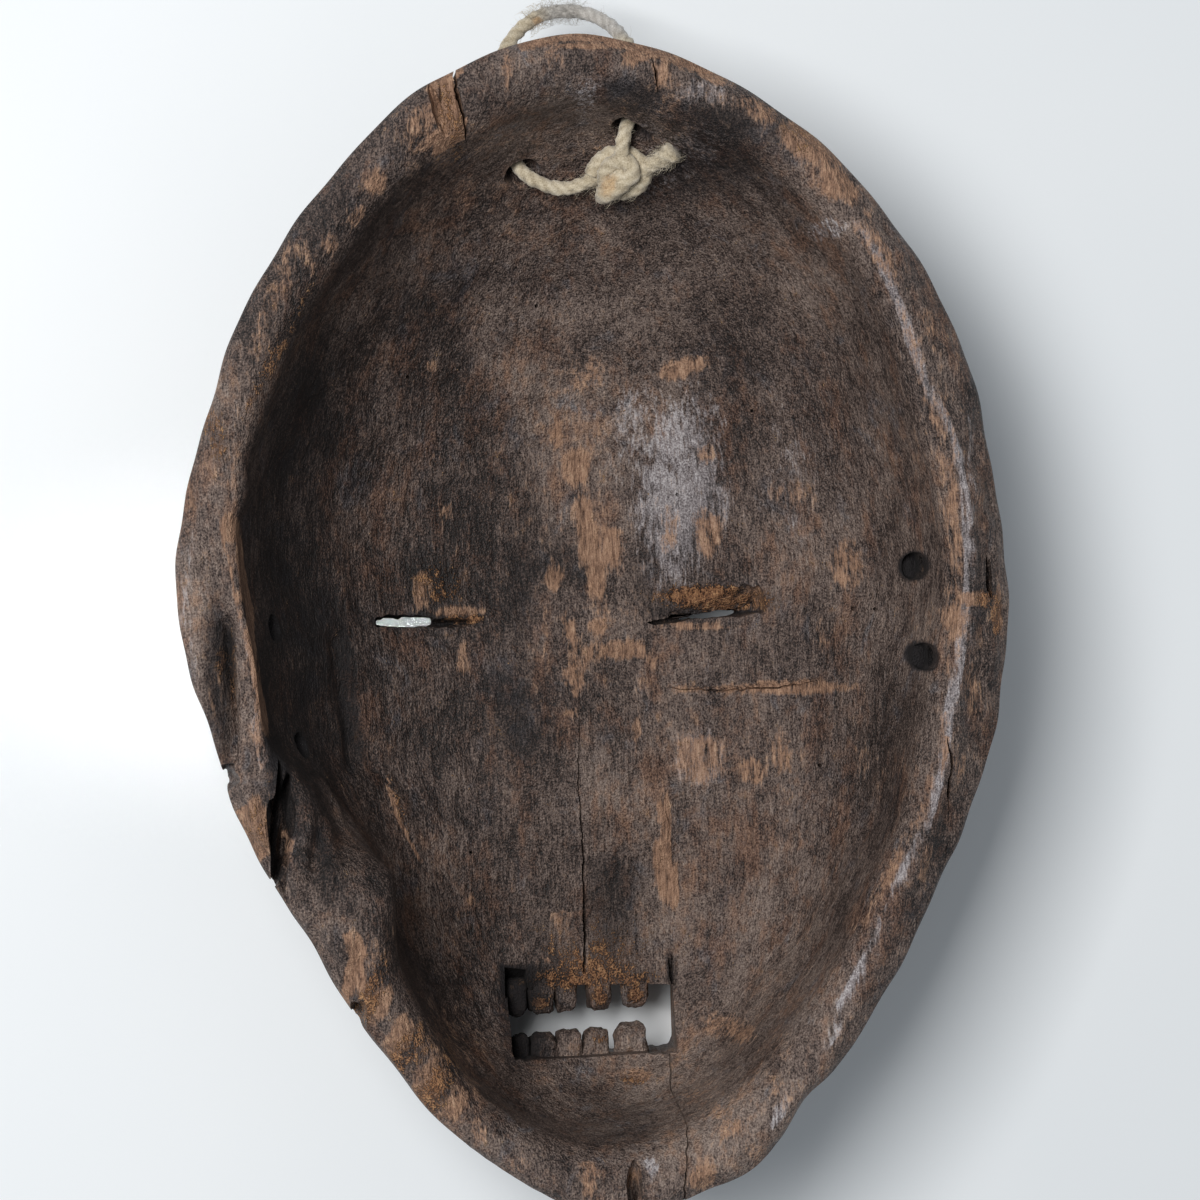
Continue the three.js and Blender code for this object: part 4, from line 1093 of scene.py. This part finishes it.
# Places where the wear is thin and scattered
thinWear = [
    (6, 30, 22, 44, 0, 0.3), (36, -38, 26, 18, 0, 0.26), (52, 22, 22, 34, 0, 0.16), (10, -14, 24, 16, 0, 0.26),
    (-46, -112, 14, 16, 34, 0.45), (-60, -86, 5, 18, 22, 0.4), (30, 128, 40, 12, -20, 0.32),
    (-36, 120, 26, 14, 30, 0.3), (86, 20, 8, 60, 0, 0.25), (40, -118, 30, 14, 20, 0.3), (-30, 10, 14, 20, 0, 0.2),
]


def patchField(x, y, patches):
    # The strongest of soft ellipses: full inside one, falling to nothing at twice its size
    value = np.zeros(x.shape)
    for cx, cy, rx, ry, lean, strength in patches:
        u, v = turned(x - cx, y - cy, lean)
        value = np.maximum(value, strength * (1 - smooth(0.55, 1.75, np.hypot(u / rx, v / ry))))
    return value


def lineField(x, y, lines):
    # The strongest of soft lines: full on one, falling to nothing at twice its half width, fading at its ends
    value = np.zeros(x.shape)
    for line, half, strength in lines:
        far, along, _ = lineDistance(x, y, line)
        ends = smooth(-0.02, 0.06, along) * (1 - smooth(0.94, 1.02, along))
        value = np.maximum(value, strength * ends * (1 - smooth(0.4, 2, far / half)))
    return value


def inBox(points, box):
    # Which points lie inside a box, given as its lowest and highest x, y and z
    return np.all([(points[:, k] > low) & (points[:, k] < high) for k, (low, high) in enumerate(box)], axis=0)


paintSizes = {
    "teeth": ((-24, 24), (-116, -90), (14, 33)),
    "ledge": ((20, 51.5), (1.8, 9), (0, 100)),  # the fresh cut over the right eye slit
    "chip": ((-38, -29.5), (119, 142), (86, 91)),
    "teethWear": 0.25, "ledgeWear": 0.7, "chipWear": 1.2, "chipShade": -0.8,
    "rimWear": 0.22, "edgeWear": 0.75, "edgePolishAndSheen": 0.9,
    # The left wall's darkening is soot and painted shade; the side holes and the left teeth are painted dark as painted
    # shade
    "wallSootAndShade": 0.6, "holeShade": 1.3, "leftTeethShade": 1.25, "upperLeftShade": 0.85,
}


def paintMask(piece, c):
    # Wear, soot with painted shade, polish with a painted sheen, darker and paler tone with painted shade and light,
    # and raw wood at each point, which the material breaks up with its noises
    p = meshPoints(piece)
    x, y, z = p.T
    angle = np.arctan2(y, x)
    degrees = np.degrees(angle) % 360
    level = innerHeight(x, y)
    within = np.hypot(x, y) / innerRadius(angle)
    front = (meshNormals(piece)[:, 2] < -0.05) | (z < 6)
    inside = ~front & (within < 1.0)
    rim = ~front & (within >= 0.985) & (z > 78)
    back = inside | rim
    teeth, chipped = inBox(p, c["teeth"]), inBox(p, c["chip"])
    ledge = inBox(p, c["ledge"]) & inside & (z < level - 1)
    hacked = atAngle(angle, 218, 11) * smooth(0.74, 0.86, within)
    # A thin line along the hollow's left edge
    edge = np.hypot(x, y) - roundedEdge(innerRadius(angle), angle, 0) - edgeSteps(angle)
    leftEdge = smooth(160, 166, degrees) * (1 - smooth(203, 208, degrees))
    leftEdge = leftEdge * (1 - smooth(0.2, 0.9, np.abs(edge - 0.3))) * (z > 84)

    wear = np.maximum(patchField(x, y, innerWear), lineField(x, y, wornLines))
    wear = np.where(back, np.maximum(wear, patchField(x, y, thinWear)), 0)
    wear = np.maximum(wear, np.where(rim, np.maximum(patchField(x, y, rimWear), c["rimWear"]), 0))
    wear = np.maximum(wear, np.where(front, patchField(x, y, frontWear), 0))
    wear = np.maximum(np.where(teeth, c["teethWear"], wear), c["edgeWear"] * leftEdge)
    wear = np.where(chipped, c["chipWear"], np.where(ledge, c["ledgeWear"], wear))

    soot = np.where(back, patchField(x, y, sootAndShadePlaces), 0)
    # Points cut below the hollow's height turn dark: painted shade in these recesses, with soot
    deep = smooth(1.5, 7, level - z) * (within < 0.98) * ~front * ~teeth * ~ledge
    # The left wall darker: soot and painted shade, as the wall lies in shadow
    leftWall = smooth(0.7, 0.9, within) * inside * atAngle(angle, 184, 38) * (1 - hacked)
    lines = np.where(inside, lineField(x, y, sootAndShadeLines), 0)
    soot = np.maximum.reduce([soot, deep, lines, c["wallSootAndShade"] * leftWall])
    # The side holes painted dark: painted shade for the shadowed table seen through them
    for hx, hy in holeSizes["side"]:
        hz = float(innerHeight(np.array(hx), np.array(hy)))
        out = np.sign(hx) * x
        off = np.hypot((x - hx) * 1.5, y - hy) if hx > 0 else np.hypot(y - hy, z - hz)
        near = ~rim & (out > 66) & (out < 97) & (z > hz - 12)
        soot = np.where(near, np.maximum(soot, c["holeShade"] * (1 - smooth(3.3, 4.3, off))), soot)
    # The left teeth painted nearly black: painted shade, as they lie in shadow
    soot = np.where(chipped, 0, np.maximum(soot, c["leftTeethShade"] * smooth(-8.5, -16, x) * teeth))

    # Polish, which also paints a sheen: painted highlights on polished places, the rim's crest and the left edge
    polish = np.where(back, np.maximum(patchField(x, y, polishAndSheenPlaces), lineField(x, y, crestPolishAndSheenLines)), 0)
    polish = np.maximum(polish, c["edgePolishAndSheen"] * leftEdge * (y < 8))
    # Tone: darker wood and painted shade over the hollow's left, lighter where paler wood and painted light lie
    darker = patchField(x, y, darkWoodAndShadePlaces)
    shade = np.where(inside, darker * (1 - 0.45 * hacked), c["upperLeftShade"] * atAngle(angle, 132, 26))
    shade = np.where(rim, np.maximum(shade, darker * (x > 0)), shade)
    shade = np.where(chipped, c["chipShade"], shade - np.where(back, patchField(x, y, paleAndLitPlaces), 0))
    raw = np.where(back | teeth, patchField(x, y, rawPlaces), 0)
    painted = {"wear": wear, "soot": soot, "polish": polish, "shade": shade, "raw": raw}
    painted["front"] = front | (z < 70) & (within > 1.02)
    for name, values in painted.items():
        setValues(piece, name, values)


maskPiece = addShell()
print("shell made", len(maskPiece.data.polygons))
carveMask(maskPiece)
print("mask carved", sum(len(p.vertices) - 2 for p in maskPiece.data.polygons), "triangles")
maskPiece.data.polygons.foreach_set("use_smooth", np.ones(len(maskPiece.data.polygons), bool))
maskPiece.data.set_sharp_from_angle(angle=math.radians(42))
paintMask(maskPiece, paintSizes)
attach(maskPiece, "root")
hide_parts("mask")


def rgb(red, green, blue):
    # Linear colour from the 0 to 255 values that a screen shows
    share = np.array([red, green, blue]) / 255
    linear = np.where(share <= 0.04045, share / 12.92, ((share + 0.055) / 1.055) ** 2.4)
    return (*(float(v) for v in linear), 1.0)


class Wire:
    # A socket whose arithmetic adds Math nodes
    def __init__(self, tree, socket):
        self.tree, self.socket = tree, socket

    def node(self, kind, settings=None, sockets=None, output=0):
        made = self.tree.nodes.new(kind)
        for name, value in (settings or {}).items():
            if name == "stops":
                ramp = made.color_ramp
                while len(ramp.elements) < len(value):
                    ramp.elements.new(0.5)
                for element, (place, *colour) in zip(ramp.elements, value):
                    element.position, element.color = place, rgb(*colour)
            else:
                setattr(made, name, value)
        for name, value in (sockets or {}).items():
            if isinstance(value, Wire):
                self.tree.links.new(value.socket, made.inputs[name])
            else:
                made.inputs[name].default_value = value
        return Wire(self.tree, made.outputs[output])

    def math(self, operation, *values):
        return self.node("ShaderNodeMath", {"operation": operation}, dict(enumerate(values)))

    def __add__(self, other):
        return self.math("ADD", self, other)

    def __sub__(self, other):
        return self.math("SUBTRACT", self, other)

    def __rsub__(self, other):
        return self.math("SUBTRACT", other, self)

    def __mul__(self, other):
        return self.math("MULTIPLY", self, other)

    __radd__ = __add__
    __rmul__ = __mul__

    def clipped(self):
        return self.node("ShaderNodeMath", {"operation": "ADD", "use_clamp": True}, {0: self, 1: 0.0})

    def band(self, low, high):
        # 0 below low, 1 above high
        ends = {"Value": self, "From Min": low, "From Max": high}
        return self.node("ShaderNodeMapRange", {"interpolation_type": "SMOOTHSTEP"}, ends)

    def noise(self, scale, detail, rough, bend=0.0):
        # Noise on these coordinates, stretched by three scales in features per metre
        stretched = self.node("ShaderNodeVectorMath", {"operation": "MULTIPLY"}, {0: self, 1: scale})
        return self.node("ShaderNodeTexNoise", {"noise_dimensions": "3D"}, {
            "Vector": stretched, "Scale": 1.0, "Detail": detail, "Roughness": rough, "Distortion": bend})

    def blend(self, first, second):
        # From the first colour to the second by this factor
        return self.node("ShaderNodeMix", {"data_type": "RGBA"}, {0: self, 6: first, 7: second}, 2)

    def ramp(self, stops):
        return self.node("ShaderNodeValToRGB", {"stops": stops}, {"Fac": self})

    def bump(self, strength, distance):
        return self.node("ShaderNodeBump", None, {"Strength": strength, "Distance": distance, "Height": self})

    def feed(self, shader, name):
        self.tree.links.new(self.socket, shader.inputs[name])


def newMaterial(name, *titles):
    # An empty material: its shader, its Object coordinates, and the piece's own values with these titles
    material = bpy.data.materials.new(name)
    material.use_nodes = True
    start = Wire(material.node_tree, None)
    place = start.node("ShaderNodeTexCoord", output=3)
    values = [start.node("ShaderNodeAttribute", {"attribute_name": title}, output=2) for title in titles]
    return material, material.node_tree.nodes["Principled BSDF"], place, values


woodLooks = {
    # Features per metre across, along and in depth, detail, roughness and bend of each noise
    "grain": {
        "streak": ((1100, 170, 1100), 3.0, 0.6), "longStreak": ((420, 40, 420), 3.0, 0.6),
        "fineStreak": ((2500, 300, 2500), 2.0, 0.65), "speck": ((2300, 1900, 2300), 1.0, 0.6),
        "fleck": ((480, 340, 480), 3.0, 0.66), "mottle": ((120, 80, 120), 4.0, 0.62, 0.5),
        "cloud": ((34, 26, 34), 2.0, 0.5), "bluish": ((95, 70, 95), 3.0, 0.65, 0.8),
        "russet": ((80, 44, 80), 3.0, 0.65), "rust": ((330, 190, 330), 3.0, 0.7), "seams": ((700, 45, 700), 2.0, 0.6),
    },
    # Places on each ramp and their colours, as a screen shows them
    "dark": [(0.2, 22, 17, 16), (0.38, 54, 43, 39), (0.52, 90, 76, 70), (0.68, 116, 101, 93), (0.9, 150, 134, 124)],
    "bluish": [(0.25, 21, 20, 24), (0.55, 66, 66, 72), (0.85, 126, 128, 134)],
    "russet": [(0.2, 36, 21, 15), (0.5, 96, 66, 50), (0.85, 150, 112, 86)],
    "rust": [(0.2, 40, 25, 18), (0.5, 106, 76, 59), (0.85, 164, 126, 98)],
    # A painted sheen: pale grey for the lamp's reflection on polished wood
    "sheen": [(0.25, 86, 81, 82), (0.55, 142, 135, 137), (0.8, 188, 184, 186)],
    "tan": [(0.36, 70, 49, 38), (0.45, 121, 91, 72), (0.54, 160, 125, 101), (0.66, 198, 166, 139)],
    "fresh": [(0.36, 40, 24, 17), (0.48, 112, 74, 48), (0.57, 166, 120, 82), (0.7, 214, 178, 132)],
    # The soot colour also paints shade in deep and shadowed places
    "soot": (20, 17, 19), "seam": (26, 18, 15),
    "specular": 0.42, "bump": (0.85, 0.0013),  # strength, and distance in metres
}


def woodMaterial(c):
    # Dark smoked wood in several tones, worn to tan, with a painted sheen, fresh orange breaks, soot with painted
    # shade, painted shade and light in its tone, and thin seams over it
    titles = ("wear", "soot", "polish", "shade", "front", "raw")
    material, shader, place, values = newMaterial("smoked_carved_wood", *titles)
    wear, soot, polish, shade, front, raw = values
    noises = {name: place.noise(*sizes) for name, sizes in c["grain"].items()}
    streak, longStreak, fineStreak, speck, fleck, mottle, cloud, bluish, russet, rust, seams = noises.values()
    # Each noise counted from its middle
    streakOff, fineOff, speckOff, fleckOff, mottleOff, cloudOff = (
        noise - 0.5 for noise in (streak, fineStreak, speck, fleck, mottle, cloud))
    tone = 0.525 + streakOff * 0.5 + fineOff * 0.6 + speckOff * 1.0 + fleckOff * 0.45 + mottleOff * 0.6 + cloudOff * 0.6
    tone = tone - soot * 0.14 - shade * 0.15
    blueMask = (bluish + soot * 0.12 + fleckOff * 0.3).band(0.56, 0.72) * 0.6
    russetMask = (russet + longStreak * 0.4 + fleckOff * 0.4).band(0.68, 0.92) * 0.6
    rustMask = (rust + cloudOff * 0.5).band(0.56, 0.74) * 0.4
    paintedSheenMask = (polish + streakOff * 1.7 + mottleOff * 1.2).band(0.45, 1.0) * 0.85
    colour = tone.ramp(c["dark"])
    for mask, name in ((blueMask, "bluish"), (russetMask, "russet"), (rustMask, "rust"), (paintedSheenMask, "sheen")):
        colour = mask.blend(colour, tone.ramp(c[name]))
    grain = fineStreak * 0.35 + streak * 0.3 + longStreak * 0.15 + fleck * 0.2
    wearMask = (wear * 1.15 + streakOff * 0.9 + fineOff * 0.6 + mottleOff * 1.2 + fleckOff * 0.9).band(0.42, 0.92)
    colour = (wearMask * 0.9).blend(colour, grain.ramp(c["tan"]))
    rawMask = (raw * 1.25 + fleckOff * 2.0 + speckOff * 1.6 + mottleOff * 1.0 + streakOff * 0.6).band(0.5, 0.85)
    colour = (rawMask * 0.85).blend(colour, (grain * 0.25 + fleck * 0.35 + speck * 0.4).ramp(c["fresh"]))
    colour = (soot * 0.75 - wearMask * 0.2).clipped().blend(colour, rgb(*c["soot"]))
    seamMask = (seams.band(0.6, 0.68) - seams.band(0.68, 0.76)) * 0.35
    seamMask.clipped().blend(colour, rgb(*c["seam"])).feed(shader, "Base Color")
    shine = 0.6 - polish * 0.18 + fleckOff * 0.4 + wearMask * 0.1 - blueMask * 0.14 - front * 0.1 + soot * 0.25
    shine.clipped().feed(shader, "Roughness")
    shader.inputs["Specular IOR Level"].default_value = c["specular"]
    rise = streak * 0.5 + speck * 0.5 + fleck * 0.9 + mottle * 1.4 + longStreak * 0.5 + rawMask * (fleck + speck) * 0.8
    rise.bump(*c["bump"]).feed(shader, "Normal")
    return material


cordLooks = {
    "fibre": ((2600, 2600, 2600), 3.0, 0.7), "blotch": ((190, 190, 190), 3.0, 0.6),
    "cream": [(0.2, 128, 112, 88), (0.5, 192, 179, 154), (0.8, 230, 220, 200)],
    "ash": [(0.2, 128, 124, 122), (0.5, 174, 171, 168), (0.8, 212, 210, 208)],
    "brown": [(0.2, 118, 80, 48), (0.5, 188, 150, 104), (0.85, 222, 196, 152)],
    "rough": 0.95, "sheen": 0.3, "bump": (0.6, 0.0004),
}


def cordMaterial(c):
    # Off-white twisted string, grey over the top right of its loop, partly frayed grey fibres and partly painted shade,
    # and brown in a few stains, with painted shade in the valleys between its strands
    material, shader, place, (groove, grey, stain) = newMaterial("soft_cotton_string", "turned", "grey", "stain")
    fibre, blotch = place.noise(*c["fibre"]), place.noise(*c["blotch"])
    # The valleys between the strands a little darker than their crowns: painted shade
    tone = (fibre - 0.5) * 0.9 + (blotch - 0.5) * 0.5 + groove * 0.07 + 0.5
    colour = (grey * 0.85).blend(tone.ramp(c["cream"]), tone.ramp(c["ash"]))
    stainMask = (stain + (blotch - 0.5) * 1.4).band(0.35, 0.9) * 0.7
    stainMask.blend(colour, tone.ramp(c["brown"])).feed(shader, "Base Color")
    shader.inputs["Roughness"].default_value = c["rough"]
    shader.inputs["Sheen Weight"].default_value = c["sheen"]
    fibre.bump(*c["bump"]).feed(shader, "Normal")
    return material


wood, cotton = woodMaterial(woodLooks), cordMaterial(cordLooks)
for piece, material in ((maskPiece, wood), (cordPiece, cotton), (knotPiece, cotton)):
    piece.data.materials.clear()
    piece.data.materials.append(material)
print("materials made")


table = {
    "half": 2500, "haze": ((6, 6, 6), 2.0, 0.5), "colours": [(0.3, 236, 241, 245), (0.7, 240, 244, 247)], "rough": 0.5,
}


def addTable(c):
    half = c["half"]
    points = np.array([(-half, -half, 0), (half, -half, 0), (half, half, 0), (-half, half, 0)], float)
    top = buildMesh("table", points, np.array([[0, 1, 2, 3]]))
    material, shader, place, _ = newMaterial("pale_table")
    place.noise(*c["haze"]).ramp(c["colours"]).feed(shader, "Base Color")
    shader.inputs["Roughness"].default_value = c["rough"]
    top.data.materials.append(material)


lights = [
    {"name": "window", "aim": (0, 0, 0), "direction": (-0.45, 0.2, 1.2), "distance": 1.3, "size": 0.48,
     "spread": 180, "watts": 13.6, "colour": (1.0, 0.985, 0.965)},
    # A narrow low light from the left that reaches the table under the left eye
    {"name": "low", "aim": (-0.046, 0, 0.004), "direction": (-0.93, 0, 0.36), "distance": 0.6, "size": 0.05,
     "spread": 9, "watts": 0.02, "colour": (1.0, 1.0, 1.0)},
]
sky = {"colour": (0.9, 0.95, 1.0, 1.0), "strength": 0.28}


def addLight(c):
    data = bpy.data.lights.new(c["name"], "AREA")
    data.energy, data.size, data.color = c["watts"], c["size"], c["colour"]
    data.spread = math.radians(c["spread"])
    lamp = bpy.data.objects.new(c["name"], data)
    way = Vector(c["direction"]).normalized()
    lamp.location = Vector(c["aim"]) + way * c["distance"]
    lamp.rotation_euler = way.to_track_quat("Z", "Y").to_euler()
    scene.collection.objects.link(lamp)


def addSky(c):
    world = bpy.data.worlds.new("studio")
    world.use_nodes = True
    back = world.node_tree.nodes["Background"]
    back.inputs["Color"].default_value = c["colour"]
    back.inputs["Strength"].default_value = c["strength"]
    scene.world = world
    scene.view_settings.view_transform = "Standard"


addTable(table)
for light in lights:
    addLight(light)
addSky(sky)
print("table and light placed")
